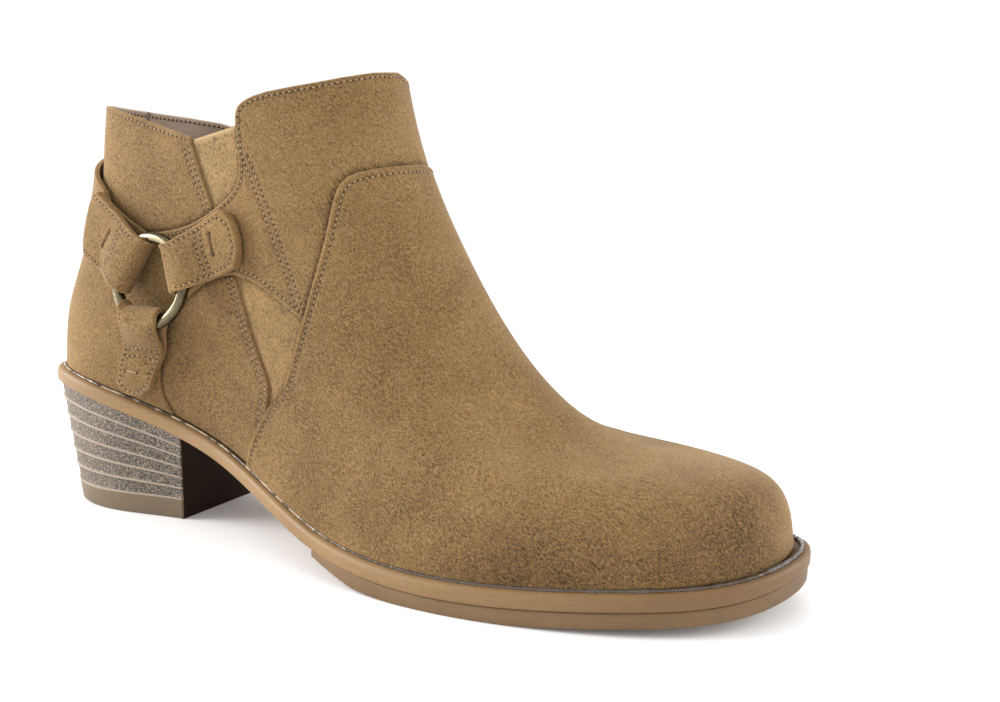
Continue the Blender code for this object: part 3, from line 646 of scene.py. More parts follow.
# Materials
class Nodes:
    """A short way to write a node material."""

    def __init__(self, name, colour, rough, metal=0.0, **shader):
        self.made = bpy.data.materials.new(name)
        self.made.use_nodes = True
        self.tree = self.made.node_tree
        self.shader = self.tree.nodes["Principled BSDF"]
        self.shader.inputs["Base Color"].default_value = (*colour, 1)
        self.shader.inputs["Roughness"].default_value = rough
        self.shader.inputs["Metallic"].default_value = metal
        for key, value in shader.items():
            socket = self.shader.inputs[key.replace("_", " ").title()]
            socket.default_value = (*value, 1) if isinstance(value, tuple) else value
        self.where = self.tree.nodes.new("ShaderNodeTexCoord").outputs["Object"]

    def link(self, value, socket):
        if isinstance(value, bpy.types.NodeSocket):
            self.tree.links.new(value, socket)
        elif value is not None:
            colour = isinstance(value, tuple) and len(socket.default_value) == 4
            socket.default_value = (*value, 1) if colour else value

    def noise(self, scale, detail=2.0, rough=0.5, warp=0.0, at=None):
        node = self.tree.nodes.new("ShaderNodeTexNoise")
        node.inputs["Scale"].default_value = scale
        node.inputs["Detail"].default_value = detail
        node.inputs["Roughness"].default_value = rough
        node.inputs["Distortion"].default_value = warp
        self.link(at or self.where, node.inputs["Vector"])
        return node.outputs["Fac"]

    def moved(self, turn=(0, 0, 0), scale=(1, 1, 1), at=None):
        node = self.tree.nodes.new("ShaderNodeMapping")
        node.inputs["Rotation"].default_value = [math.radians(a) for a in turn]
        node.inputs["Scale"].default_value = scale
        self.link(at or self.where, node.inputs["Vector"])
        return node.outputs["Vector"]

    def strokes(self, turn, scale, rough, at=None, detail=3, warp=0.0):
        """Noise drawn out along a turned direction."""
        return self.noise(1.0, detail, rough, warp, self.moved((0, 0, 0), scale, self.moved(turn, (1, 1, 1), at)))

    def along(self, axis):
        """Place along one axis of the model."""
        node = self.tree.nodes.new("ShaderNodeSeparateXYZ")
        self.link(self.where, node.inputs[0])
        return node.outputs[axis]

    def mark(self, name):
        node = self.tree.nodes.new("ShaderNodeAttribute")
        node.attribute_name = name
        return node.outputs["Fac"]

    def math(self, kind, a, b=None, c=None):
        node = self.tree.nodes.new("ShaderNodeMath")
        node.operation = kind
        for value, socket in zip((a, b, c), node.inputs):
            self.link(value, socket)
        return node.outputs[0]

    def spread(self, value, low, high, to_low=0.0, to_high=1.0):
        node = self.tree.nodes.new("ShaderNodeMapRange")
        node.inputs["From Min"].default_value = low
        node.inputs["From Max"].default_value = high
        node.inputs["To Min"].default_value = to_low
        node.inputs["To Max"].default_value = to_high
        self.link(value, node.inputs["Value"])
        return node.outputs["Result"]

    def mix(self, share, a, b, blend="MIX"):
        node = self.tree.nodes.new("ShaderNodeMix")
        node.data_type = "RGBA"
        node.blend_type = blend
        self.link(share, node.inputs[0])
        self.link(a, node.inputs[6])
        self.link(b, node.inputs[7])
        return node.outputs[2]

    def bump(self, height, strength, distance, under=None):
        node = self.tree.nodes.new("ShaderNodeBump")
        node.inputs["Strength"].default_value = strength
        node.inputs["Distance"].default_value = distance
        self.link(height, node.inputs["Height"])
        if under is not None:
            self.link(under, node.inputs["Normal"])
        return node.outputs["Normal"]

    def done(self, colour=None, rough=None, normal=None):
        self.link(colour, self.shader.inputs["Base Color"])
        self.link(rough, self.shader.inputs["Roughness"])
        self.link(normal, self.shader.inputs["Normal"])
        return self.made


def nubuck(name, light, dark):
    """Brushed nubuck: clouds, nap strokes, fine grain, paler edges and darker seams."""
    n = Nodes(name, light, 0.86, sheen_weight=0.20, sheen_roughness=0.40, sheen_tint=(0.95, 0.80, 0.56))
    n.shader.inputs["Specular IOR Level"].default_value = 0.22
    clouds = n.noise(17, 3, 0.55, 0.6)
    patches = n.noise(60, 4, 0.6, 0.4)
    bend = n.tree.nodes.new("ShaderNodeVectorMath")
    bend.operation = "MULTIPLY_ADD"
    swirl = n.tree.nodes.new("ShaderNodeTexNoise")
    swirl.inputs["Scale"].default_value = 55
    swirl.inputs["Detail"].default_value = 2
    n.tree.links.new(n.where, swirl.inputs["Vector"])
    n.tree.links.new(swirl.outputs["Color"], bend.inputs[0])
    bend.inputs[1].default_value = (0.010, 0.010, 0.010)
    n.tree.links.new(n.where, bend.inputs[2])
    nap = n.strokes((0, 44, 12), (3100, 2500, 1250), 0.62, bend.outputs[0])
    cross = n.strokes((0, 62, -10), (1900, 1600, 800), 0.60, bend.outputs[0])
    grain = n.noise(2600, 2, 0.6)
    stroke = n.math("ADD", n.math("MULTIPLY", nap, 0.6), n.math("MULTIPLY", cross, 0.4))
    tone = n.math("ADD", n.spread(clouds, 0.3, 0.7, -0.30, 0.30), n.spread(patches, 0.3, 0.7, -0.12, 0.12))
    tone = n.math("ADD", tone, n.spread(stroke, 0.38, 0.62, -0.62, 0.62))
    tone = n.math("ADD", tone, n.spread(grain, 0.3, 0.7, -0.22, 0.22))
    tone = n.math("ADD", tone, n.math("MULTIPLY", n.mark("edge"), 0.30))
    tone = n.math("SUBTRACT", tone, n.math("MULTIPLY", n.mark("seam"), 0.22))
    tone = n.math("SUBTRACT", tone, n.math("MULTIPLY", n.mark("shade"), 1.1))
    tone = n.math("SUBTRACT", tone, n.math("MULTIPLY", n.mark("low"), 0.55))
    share = n.spread(tone, -0.9, 0.9)
    colour = n.mix(share, dark, light)
    height = n.math("ADD", n.math("MULTIPLY", stroke, 0.7), n.math("MULTIPLY", grain, 0.3))
    normal = n.bump(patches, 0.25, 0.0010, n.bump(height, 0.5, 0.0003))
    return n.done(colour, n.spread(stroke, 0.3, 0.7, 0.92, 0.78), normal)


def gore(name):
    """Woven elastic: fine irregular threads in a warmer tan, smooth along its folded hem."""
    n = Nodes(name, (0.4, 0.26, 0.12), 0.9, sheen_weight=0.2, sheen_roughness=0.5)
    drift = n.noise(260, 2, 0.5)
    a = n.strokes((0, 38, 0), (1900, 1400, 900), 0.5, None, 2, 0.3)
    b = n.strokes((0, -48, 0), (1900, 1400, 900), 0.5, None, 2, 0.3)
    weave = n.math("MAXIMUM", a, b)
    cloud = n.noise(45, 3, 0.5)
    fuzz = n.noise(2600, 2, 0.6)
    tone = n.math("ADD", n.spread(weave, 0.44, 0.64, 0.0, 0.62), n.spread(cloud, 0.3, 0.7, 0.0, 0.22))
    fine = n.math("ADD", n.spread(fuzz, 0.3, 0.7, 0.0, 0.16), n.spread(drift, 0.3, 0.7, 0.0, 0.12))
    tone = n.math("ADD", tone, fine)
    woven = n.mix(tone, (0.085, 0.043, 0.012), (0.335, 0.205, 0.070))
    woven = n.mix(n.spread(n.along(2), 0.11, 0.07), woven, n.mix(1.0, woven, (0.86, 0.81, 0.66), "MULTIPLY"))
    hem = n.mark("hem")
    colour = n.mix(hem, woven, (0.36, 0.24, 0.105))
    colour = n.mix(n.math("MULTIPLY", n.mark("shade"), 0.85), colour, (0.035, 0.02, 0.008))
    relief = n.math("MULTIPLY", weave, n.math("SUBTRACT", 1.0, hem))
    return n.done(colour, None, n.bump(relief, 0.6, 0.0004, n.bump(fuzz, 0.3, 0.0002)))


def lining(name, light=(0.355, 0.262, 0.195), dark=(0.22, 0.152, 0.104)):
    """Smooth lining in grey brown, darker along its seam."""
    n = Nodes(name, light, 0.75, sheen_weight=0.15)
    grain = n.noise(1500, 3, 0.6)
    cloud = n.noise(40, 3, 0.5)
    tone = n.math("ADD", n.math("MULTIPLY", grain, 0.5), n.math("MULTIPLY", cloud, 0.5))
    colour = n.mix(n.mark("seam"), n.mix(n.spread(tone, 0.3, 0.7), dark, light), (0.03, 0.02, 0.013))
    return n.done(colour, None, n.bump(grain, 0.3, 0.0002))


def rubber(name, light, dark, rough=0.5, marks=(900, 0.25), toe=(1.0, 1.0, 1.0), gloss=0.4):
    """Moulded rubber with faint mottling and a fine matt skin, darkened towards the toe by painted shade."""
    n = Nodes(name, light, rough)
    n.shader.inputs["Specular IOR Level"].default_value = gloss
    cloud = n.noise(35, 3, 0.5)
    fine = n.noise(marks[0], 3, 0.6)
    drag = n.noise(1.0, 3, 0.6, 0.0, n.moved((0, 0, 0), (60, 60, 900)))
    tone = n.math("ADD", n.math("MULTIPLY", fine, 0.25), n.math("MULTIPLY", drag, 0.3))
    tone = n.math("ADD", n.math("MULTIPLY", cloud, 0.45), tone)
    normal = n.bump(fine, marks[1], 0.00015)
    colour = n.mix(n.spread(tone, 0.3, 0.7), dark, light)
    # Painted shade: towards the front the colour is multiplied by the toe colour, for the shade at the toe.
    colour = n.mix(n.spread(n.along(0), 0.02, 0.12), colour, n.mix(1.0, colour, toe, "MULTIPLY"))
    return n.done(colour, n.spread(drag, 0.3, 0.7, rough - 0.08, rough + 0.1), normal)


def stack(name):
    """Stacked heel: pale smooth lines, and bands of dark grains on a grey beige ground."""
    n = Nodes(name, (0.3, 0.25, 0.2), 0.72)
    line = n.mark("line")
    grain = n.noise(1900, 4, 0.65)
    specks = n.spread(grain, 0.50, 0.56)
    broad = n.noise(60, 3, 0.5)
    ground = n.mix(n.spread(broad, 0.3, 0.7), (0.27, 0.212, 0.160), (0.375, 0.308, 0.240))
    ahead = n.spread(n.along(0), -0.135, -0.085)
    band = n.mix(specks, n.mix(ahead, (0.150, 0.122, 0.096), (0.050, 0.040, 0.032)), ground)
    ragged = n.math("ADD", line, n.spread(n.noise(700, 3, 0.6), 0.3, 0.7, -0.18, 0.18))
    colour = n.mix(n.spread(ragged, 0.30, 0.80, 0.0, 0.85), band, (0.345, 0.272, 0.205))
    rough_relief = n.math("MULTIPLY", specks, n.math("SUBTRACT", 1.0, line))
    return n.done(colour, None, n.bump(rough_relief, 0.7, 0.00035))


def brass(name):
    """Antique brass: dark patina, and paler metal along a band that is partly rubbed wear and partly painted
    highlight.
    """
    n = Nodes(name, (0.42, 0.35, 0.21), 0.24, 1.0)
    cloud = n.noise(160, 4, 0.6)
    fine = n.noise(900, 3, 0.6)
    # Where the mark is high the metal is paler: partly rubbed wear, partly painted highlight.
    patina = n.math("SUBTRACT", n.spread(cloud, 0.35, 0.7, 0.75, 1.1), n.math("MULTIPLY", n.mark("worn"), 0.85))
    colour = n.mix(n.spread(patina, 0.0, 1.0), (0.36, 0.31, 0.19), (0.052, 0.043, 0.025))
    return n.done(colour, n.spread(fine, 0.3, 0.7, 0.16, 0.34), n.bump(fine, 0.15, 0.0001))


def thread(name, light, dark):
    """Twisted sewing thread."""
    n = Nodes(name, light, 0.7, sheen_weight=0.2)
    twist = n.noise(1800, 2, 0.5)
    return n.done(n.mix(n.spread(twist, 0.35, 0.65), dark, light), None, n.bump(twist, 0.4, 0.0001))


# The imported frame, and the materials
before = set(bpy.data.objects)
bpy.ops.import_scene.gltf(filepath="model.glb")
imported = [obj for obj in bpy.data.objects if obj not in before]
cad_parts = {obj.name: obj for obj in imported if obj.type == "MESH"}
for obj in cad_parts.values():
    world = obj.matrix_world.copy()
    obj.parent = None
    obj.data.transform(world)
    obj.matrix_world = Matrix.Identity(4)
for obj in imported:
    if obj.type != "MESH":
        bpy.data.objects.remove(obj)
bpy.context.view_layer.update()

TAN_LIGHT, TAN_DARK = (0.318, 0.190, 0.077), (0.052, 0.027, 0.0085)
tan = nubuck("nubuck_tan", TAN_LIGHT, TAN_DARK)
strap_tan = nubuck("strap_nubuck", TAN_LIGHT, TAN_DARK)
elastic = gore("gore_elastic")
inside = lining("lining_mauve")
bed = lining("insole_mauve", (0.26, 0.19, 0.14), (0.16, 0.11, 0.08))
# The toe colours of the rand and the tread are painted shade at the front of the sole.
rand_rubber = rubber("rand_rubber", (0.315, 0.190, 0.082), (0.19, 0.108, 0.043), 0.5, toe=(0.62, 0.57, 0.50))
tread_rubber = rubber("tread_rubber", (0.225, 0.136, 0.064), (0.132, 0.077, 0.033), 0.55, toe=(0.84, 0.80, 0.76))
lift_rubber = rubber("lift_rubber", (0.18, 0.127, 0.073), (0.112, 0.076, 0.042), 0.5, (1400, 0.4))
heel_mix = stack("stack_grey_brown")
metal = brass("antique_brass")
thread_tan = thread("thread_tan", (0.40, 0.275, 0.14), (0.24, 0.155, 0.07))
# Painted shade: near-black lenses stand for the shade inside needle holes and strap slits.
hole_shade = Nodes("needle_hole_shade", (0.035, 0.02, 0.012), 0.9)
hole_shade = hole_shade.done(hole_shade.mix(hole_shade.noise(900), (0.026, 0.013, 0.006), (0.055, 0.03, 0.014)))
# Painted shade: the plain heel breast gets a near-black rubber for the shade on the heel's front.
breast_shade = rubber("heel_breast_shade", (0.024, 0.012, 0.006), (0.012, 0.006, 0.003), 0.75, (700, 0.1), gloss=0.12)
glue = Nodes("glue_line", (0.06, 0.035, 0.02), 0.15, coat_weight=0.8)
# Painted highlight: broken pale streaks on the bead, fading out towards the toe, stand in for the lamps' glint on the
# glossy glue.
broken_glint = glue.spread(glue.noise(240, 3), 0.46, 0.58)
pale = glue.math("MULTIPLY", broken_glint, glue.spread(glue.along(0), -0.03, 0.02, 1.0, 0.0))
lumps = glue.bump(glue.noise(700, 3), 0.8, 0.0006)
glue = glue.done(glue.mix(pale, (0.050, 0.028, 0.013), (0.46, 0.37, 0.26)), None, lumps)


def collar_part(start, stop):
    """The collar's line between two places round, either way."""
    path = straight(COLLAR)
    keep = path[(path[:, 0] >= min(start, stop)) & (path[:, 0] <= max(start, stop))]
    return keep if start < stop else keep[::-1]


def sided(flip, *lines):
    """The lines as they are, or mirrored to the other side."""
    return [mirrored(line) if flip else line for line in lines]


def level(u0, u1, v=0.0):
    """A level line at one share up."""
    return straight([(u0, v), (u1, v)])


def upright(u, v0, v1):
    """A line straight up at one place round."""
    return straight([(u, v0), (u, v1)])


def build_upper():
    """Gores, quarters, shaft with its arms and counter, and vamp, each with its rows of stitches."""
    rows = Stitches()
    vamp_line = curve(VAMP_EDGE)[::-1]
    vamp_half = np.vstack([vamp_line, mirrored(vamp_line)])
    vamp_outline = np.vstack([vamp_half, level(12.73, 3.27)])[::-1]
    vamp_row = beside(respaced(vamp_half), -VAMP_ROW)
    vamp_row = vamp_row[(vamp_row[:, 1] > 0.012)]
    vamp = Panel(vamp_outline, VAMP_STEP, [vamp_row])
    vamp_piece = vamp.build("vamp", [tan], "nubuck_tan")
    rows.row(*vamp.place(vamp_row))
    shaft = curve(SHAFT_EDGE)
    counter = curve(COUNTER_FRONT)
    under = curve([(4.69, 0.507), (5.0, 0.50), (5.45, 0.60), (5.9, 0.70), (6.5, 0.745), (8.0, 0.765)])
    lower = np.vstack([level(0.0, 2.62), counter, under])
    upper_half = np.vstack([shaft[::-1], collar_part(4.51, 8.0)])
    outline = np.vstack([
        lower, mirrored(lower), upright(16.0, 0.0, 0.46), mirrored(upper_half)[::-1], upper_half[::-1],
        upright(0.0, 0.46, 0.0),
    ])
    edge = np.vstack([shaft[::-1], collar_part(4.515, 8.0)])
    edge_row = beside(respaced(edge), -EDGE_ROW)
    clear = nearness(upper_point(*edge_row.T), upper_point(*respaced(edge, 0.0003).T)) > EDGE_ROW - 0.0001
    edge_row = respaced(edge_row[clear & (edge_row[:, 0] > 0.05)])
    inner = curve([(4.49, 0.835), (4.53, 0.79), (4.58, 0.738), (4.64, 0.611), (4.69, 0.520)])
    inner_two = beside(respaced(inner), 0.0021)
    inner_two = inner_two[(inner_two[:, 1] > 0.525) & (inner_two[:, 1] < 0.80)]
    low_row = beside(respaced(counter), 0.0020)
    low_row = low_row[low_row[:, 1] > 0.36]
    half_rows = [edge_row, inner, inner_two, low_row]
    shaft_rows = half_rows + sided(True, *half_rows)
    body = Panel(outline, SHAFT_STEP, shaft_rows, over=[vamp_half])
    body.build("shaft", [tan], "nubuck_tan")
    for row in shaft_rows:
        rows.row(*body.place(respaced(row)))
    front = curve(QUARTER_FRONT)
    hidden = curve([(2.35, 0.0), (2.28, 0.10), (2.33, 0.20), (2.40, 0.30), (2.2, 0.40), (1.2, 0.40), (0.0, 0.40)])
    quarter = np.vstack([
        hidden[::-1], level(2.35, 3.42), front[::-1], collar_part(3.66, 0.0), upright(0.0, 0.905, 0.40),
    ])
    top = beside(respaced(collar_part(0.08, 3.60)), -EDGE_ROW)
    one, two = (beside(respaced(front), -offset) for offset in QUARTER_ROWS)
    one = one[(one[:, 1] < 0.805) & (one[:, 1] > 0.03)]
    two = two[(two[:, 1] < 0.800) & (two[:, 1] > 0.03)]
    for name, flip in (("quarter_lateral", False), ("quarter_medial", True)):
        shape, *lines = sided(flip, quarter, top, one, two, upright(0.07, 0.56, 0.88))
        side = Panel(shape, QUARTER_STEP, lines, over=sided(flip, counter, shaft))
        side.build(name, [tan], "nubuck_tan")
        for row in lines:
            rows.row(*side.place(respaced(row)))
    gore_outline = np.vstack([
        straight([(3.50, 0.8205), (3.67, 0.822), (4.07, 0.840), (4.50, 0.858), (4.62, 0.862)])[::-1],
        straight([(3.50, 0.8205), (3.55, 0.65), (3.62, 0.50), (3.60, 0.35), (3.48, 0.22), (3.62, 0.15)]),
        straight([(3.62, 0.15), (3.95, 0.25), (4.35, 0.36), (4.80, 0.50), (4.85, 0.60), (4.75, 0.74), (4.62, 0.862)]),
    ])
    for name, flip in (("gore_lateral", False), ("gore_medial", True)):
        rim = straight([(3.66, 0.822), (4.07, 0.840), (4.52, 0.859)])
        shape, rim, *over = sided(flip, gore_outline, rim, front, vamp_line, counter, shaft, inner)
        side = Panel(shape, GORE_STEP, over=over, puff=0.0003)
        side.build(name, [elastic], "gore_elastic", hem=rim)
    rows.build("stitches_upper", [thread_tan, hole_shade], "nubuck_tan")
    return vamp_piece


def build_lining():
    """The lining inside the wall, open at both ends."""
    rim = straight(COLLAR, 0.01)
    rim = np.vstack([rim, mirrored(rim)[1:-1]])
    keep = respaced(rim, 0.0016, True)
    count = len(keep)
    shares = np.concatenate([np.linspace(0, 0.94, 44), [0.96, 0.975, 0.985, 0.992, 0.996, 1.0]])
    points = []
    for t in shares:
        v = keep[:, 1] * t
        drop = rolled(keep[:, 1] * (1 - t) * 0.13, 0.0007)
        points.append(raised(keep[:, 0], v, -WALL + drop))
    for t in np.linspace(1, 0, 34):
        points.append(raised(keep[:, 0], keep[:, 1] * t, np.full(count, LEATHER_BACK - 0.00008)))
    rows = len(points)
    marks = {"seam": np.tile(np.exp(-(np.minimum(keep[:, 0], 16 - keep[:, 0]) / 0.025) ** 2), rows) * 0.9}
    made_piece("lining", np.vstack(points), hoops(rows, count, True), [inside], "lining_mauve", marks=marks)
    sewn = Stitches()
    line = respaced(beside(respaced(rim), -0.0016))
    line = line[(line[:, 0] > 0.06) & (line[:, 0] < 15.94)]
    normal = -upper_normal(*line.T)
    sewn.row(upper_point(*line.T) + normal * (WALL + 0.00004), normal)
    sewn.build("stitches_collar", [thread_tan, hole_shade], "lining_mauve")


def stacked(rows):
    """Points and side faces of loops of points, bottom loop first, with flat fans at both ends."""
    count = len(rows[0])
    points = np.vstack(rows + [rows[0].mean(0)[None], rows[-1].mean(0)[None]])
    faces = hoops(len(rows), count)
    low, high = len(points) - 2, len(points) - 1
    last = (len(rows) - 1) * count
    for i in range(count):
        j = (i + 1) % count
        faces.append((i, j, low))
        faces.append((last + j, last + i, high))
    return points, faces


def crossed(rows):
    """Points and faces of loops of points that start on the middle line, closed straight across at both ends."""
    count = len(rows[0])
    faces = hoops(len(rows), count)
    for start, flip in ((0, False), ((len(rows) - 1) * count, True)):
        tip = (start, start + 1, start + count - 1)
        faces.append(tip[::-1] if flip else tip)
        faces += across(start + 1, start + count - 1, flip)
    return np.vstack(rows), faces


def with_height(xy, z):
    """Flat points given their heights."""
    return np.column_stack([xy, z])


def build_soles():
    """Rand, forepart sole, insole and the glue line along the feather."""
    at = np.linspace(0, 16, 513)[:-1]
    rows = []
    profile = [
        (0.42, 0.0), (0.16, 0.0), (0.06, 0.03), (0.0, 0.10), (0.0, 0.30), (0.0, 0.50), (0.005, 0.62), (0.02, 0.72),
        (0.055, 0.82), (0.11, 0.90), (0.19, 0.96), (0.29, 0.995), (0.38, 1.0), (0.50, 0.985), (0.56, 0.95),
        (0.80, 0.95),
    ]
    for inset, share in profile:
        xy = sole_outline(at, inset * RAND_THICK)
        rows.append(with_height(xy, sole_rise(xy[:, 0]) + share * RAND_THICK))
    rand = made_piece("rand_rim", *crossed(rows), [rand_rubber], "rand_rubber", crease=60)
    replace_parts(rand, "rand")
    start = place_at(TREAD_START)
    at = np.linspace(start, 16 - start, 385)
    rows = []
    profile = [
        (0.58, 1.0), (0.30, 1.0), (0.22, 0.97), (0.14, 0.90), (0.09, 0.80), (0.09, 0.5), (0.10, 0.2), (0.11, 0.06),
        (0.16, 0.0), (0.50, 0.0),
    ]
    for inset, share in profile:
        xy = sole_outline(at, inset * TREAD_THICK)
        thick = TREAD_THICK * np.clip(0.45 + (xy[:, 0] - TREAD_START) / 0.030, 0, 1)
        top = sole_rise(xy[:, 0]) - GAP * 0.2
        rows.append(with_height(xy, np.maximum(top - share * (thick - GAP * 0.2), 0.0)))
    count = len(at)
    faces = [face[::-1] for face in hoops(len(rows), count)]
    top = (len(rows) - 1) * count
    faces += across(0, count - 1, True) + across(top, top + count - 1, False)
    sole = made_piece("forepart_tread", np.vstack(rows), faces, [tread_rubber], "tread_rubber", crease=60)
    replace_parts(sole, "forepart_sole")
    at = np.linspace(0, 16, 257)[:-1]
    inset = LEDGE + WALL + INSOLE_MARGIN
    rows = []
    for more, up in ((0.0, 0.0), (0.0, 0.7), (0.0002, 0.9), (0.0006, 1.0), (0.004, 1.0)):
        xy = sole_outline(at, inset + more)
        rows.append(with_height(xy, sole_rise(xy[:, 0]) + RAND_THICK + GAP + up * INSOLE_THICK))
    sock = made_piece("insole_bed", *crossed(rows), [bed], "insole_mauve", crease=60)
    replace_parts(sock, "insole")
    at = np.linspace(0, 16, 897)[:-1]
    rng = np.random.default_rng(5)
    wobble = np.convolve(np.tile(rng.normal(0, 1, 896), 3), np.ones(5) / 5, "same")[896:1792]
    front = np.clip((sole_outline(at)[:, 0] - 0.13) / 0.06, 0, 1)
    size = 0.00034 + 0.00042 * front + (0.00008 + 0.00012 * front) * wobble
    middle = sole_outline(at, LEDGE - 0.0006)
    height = sole_rise(middle[:, 0]) + 0.97 * RAND_THICK + 0.0003
    out = unit(sole_outline(at, LEDGE - 0.002) - middle)
    rows = []
    for k in range(7):
        b = 2 * math.pi * k / 7
        xy = middle + out * (size * math.cos(b))[:, None]
        rows.append(with_height(xy, height + size * 1.15 * math.sin(b)))
    made_piece("glue_bead", np.vstack(rows), hoops(7, len(at), True), [glue], "rand_rubber")


def heel_loop(share, inset, count=181):
    """A heel section: 0 is the foot, 1 the seat under the rand; then its straight front."""
    start = place_at(HEEL_TOP_FRONT, HEEL_INSET)
    at = np.linspace(start, -start, count)
    seat = sole_outline(at, HEEL_INSET)
    mid = sole_swing(seat[:, 0])
    foot_x = HEEL_FOOT_BACK + seat[:, 0] / HEEL_TOP_FRONT * (HEEL_FOOT_FRONT - HEEL_FOOT_BACK)
    foot = np.column_stack([foot_x, mid + (seat[:, 1] - mid) * HEEL_FOOT_WIDTH])
    xy = foot + (seat - foot) * share
    a, b = xy[-1].copy(), xy[0].copy()
    way = unit(np.gradient(xy, axis=0))
    xy = xy + inset * np.column_stack([way[:, 1], -way[:, 0]])
    front = a + (b - a) * np.linspace(0, 1, 32)[1:-1, None]
    r = HEEL_CORNER
    back_a, back_b = unit((xy[-2] - xy[-1])[None])[0], unit((xy[1] - xy[0])[None])[0]
    xy[-1] = a + back_a * r * 0.6 + (b - a) / np.linalg.norm(b - a) * r * 0.15
    xy[0] = b + back_b * r * 0.6 + (a - b) / np.linalg.norm(b - a) * r * 0.15
    front[0] = a + (b - a) / np.linalg.norm(b - a) * r
    front[-1] = b + (a - b) / np.linalg.norm(b - a) * r
    return np.vstack([xy, front])[::-1]


def build_heel():
    """Stacked heel with its raised lines, a plain breast painted near-black as shade, and the top lift."""
    cut = LIFT_THICK / HEEL_HEIGHT
    low = LIFT_THICK + 0.00004
    rows, line = [], []
    wide = HEEL_LINE * STACK_BANDS / (HEEL_HEIGHT - LIFT_THICK)
    fine = [(0.0, 0.0, 1), (wide * 0.3, -0.00006, 1), (wide * 0.7, 0.00002, 0.9), (wide, 0.00018, 0.6)]
    fine += [(wide * 1.3, 0.00032, 0.2)]
    fine += [(t, 0.0004, 0) for t in np.linspace(wide * 1.6, 1 - wide * 0.5, 9)] + [(1 - wide * 0.2, 0.00025, 0.5)]
    for band in range(STACK_BANDS):
        for share, inset, mark in fine:
            t = (band + share) / STACK_BANDS
            xy = heel_loop(cut + (1 - cut) * t, inset)
            top = sole_rise(xy[:, 0]) - 0.00004
            rows.append(with_height(xy, low + (top - low) * t))
            line.append(np.full(len(xy), mark))
    xy = heel_loop(1.0, 0.0)
    rows.append(with_height(xy, sole_rise(xy[:, 0]) - 0.00004))
    line.append(np.full(len(xy), 1.0))
    points, faces = stacked(rows)
    front = len(rows[0]) - 181
    count = len(rows[0])
    # The front faces take the breast's painted shade.
    which = [int(max(i % count for i in face) < front and len(face) == 4) for face in faces]
    marks = {"line": np.concatenate(line + [[0, 0]])}
    heel = made_piece("heel_block", points, faces, [heel_mix, breast_shade], "stack_grey_brown", which, 40, marks)
    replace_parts(heel, "heel_stack")
    rows = []
    profile = [
        (0.0, 0.0009), (0.03, 0.0004), (0.08, 0.0001), (0.14, 0.0), (0.5, 0.0), (0.9, 0.0), (0.97, 0.0001),
        (1.0, 0.0003),
    ]
    for share, inset in profile:
        xy = heel_loop(cut * share, inset)
        rows.append(with_height(xy, np.full(len(xy), LIFT_THICK * share)))
    points, faces = stacked(rows)
    # The lift's front faces take the same painted shade.
    which = [int(max(i % count for i in face) < front and len(face) == 4) for face in faces]
    lift = made_piece("top_lift", points, faces, [lift_rubber, breast_shade], "lift_rubber", which, 40)
    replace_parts(lift, "heel_lift")


def ring_frame():
    """Middle of the ring and its two directions and normal."""
    u, v = np.array([RING_ROUND]), np.array([RING_UP])
    middle = raised(u, v, [RING_OFF])[0]
    out = upper_normal(u, v)[0]
    for _ in range(10):
        flat = unit(np.cross((0, 0, 1.0), out)[None])[0]
        if flat[0] < 0:
            flat = -flat
        rising = np.cross(out, flat)
        if rising[2] < 0:
            rising = -rising
        spots = []
        for s in STRAPS:
            a = math.radians(s.heading)
            spots.append(middle + RING_RADIUS * (math.cos(a) * flat + math.sin(a) * rising))
        spots = np.array(spots)
        low = spots[:, 2] < middle[2]
        spots = spots + (RING_OFF + RING_LEAN * low - foot_of(spots)[2])[:, None] * out
        turned = unit(np.cross(spots[1] - spots[0], spots[2] - spots[0])[None])[0]
        out = turned if turned @ out > 0 else -turned
        middle = middle + out * ((spots.mean(0) - middle) @ out)
    return middle, flat, rising, out


RING = ring_frame()


def build_ring():
    """The round wire."""
    middle, flat, rising, out = RING
    big, small = 144, 24
    a = np.repeat(np.arange(big) * 2 * math.pi / big, small)
    b = np.tile(np.arange(small) * 2 * math.pi / small, big)
    way = np.cos(a)[:, None] * flat + np.sin(a)[:, None] * rising
    wide, thick = RING_RADIUS + WIRE_RADIUS * np.cos(b), WIRE_RADIUS * np.sin(b)
    points = middle + way * wide[:, None] + out * thick[:, None]
    # Painted highlight: the pale band round the wire's front face is strongest on the side of the ring turned towards
    # -55 degrees, where the light falls; the band also stands for rubbed wear.
    lit = 0.5 - 0.5 * np.cos(a - math.radians(-55))
    worn = np.exp(-(((np.degrees(b) - 100 + 180) % 360 - 180) / 36) ** 2) * (0.35 + 0.65 * lit)
    ring = made_piece("harness_ring", points, hoops(big, small, True), [metal], "antique_brass", marks={"worn": worn})
    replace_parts(ring, "ring")


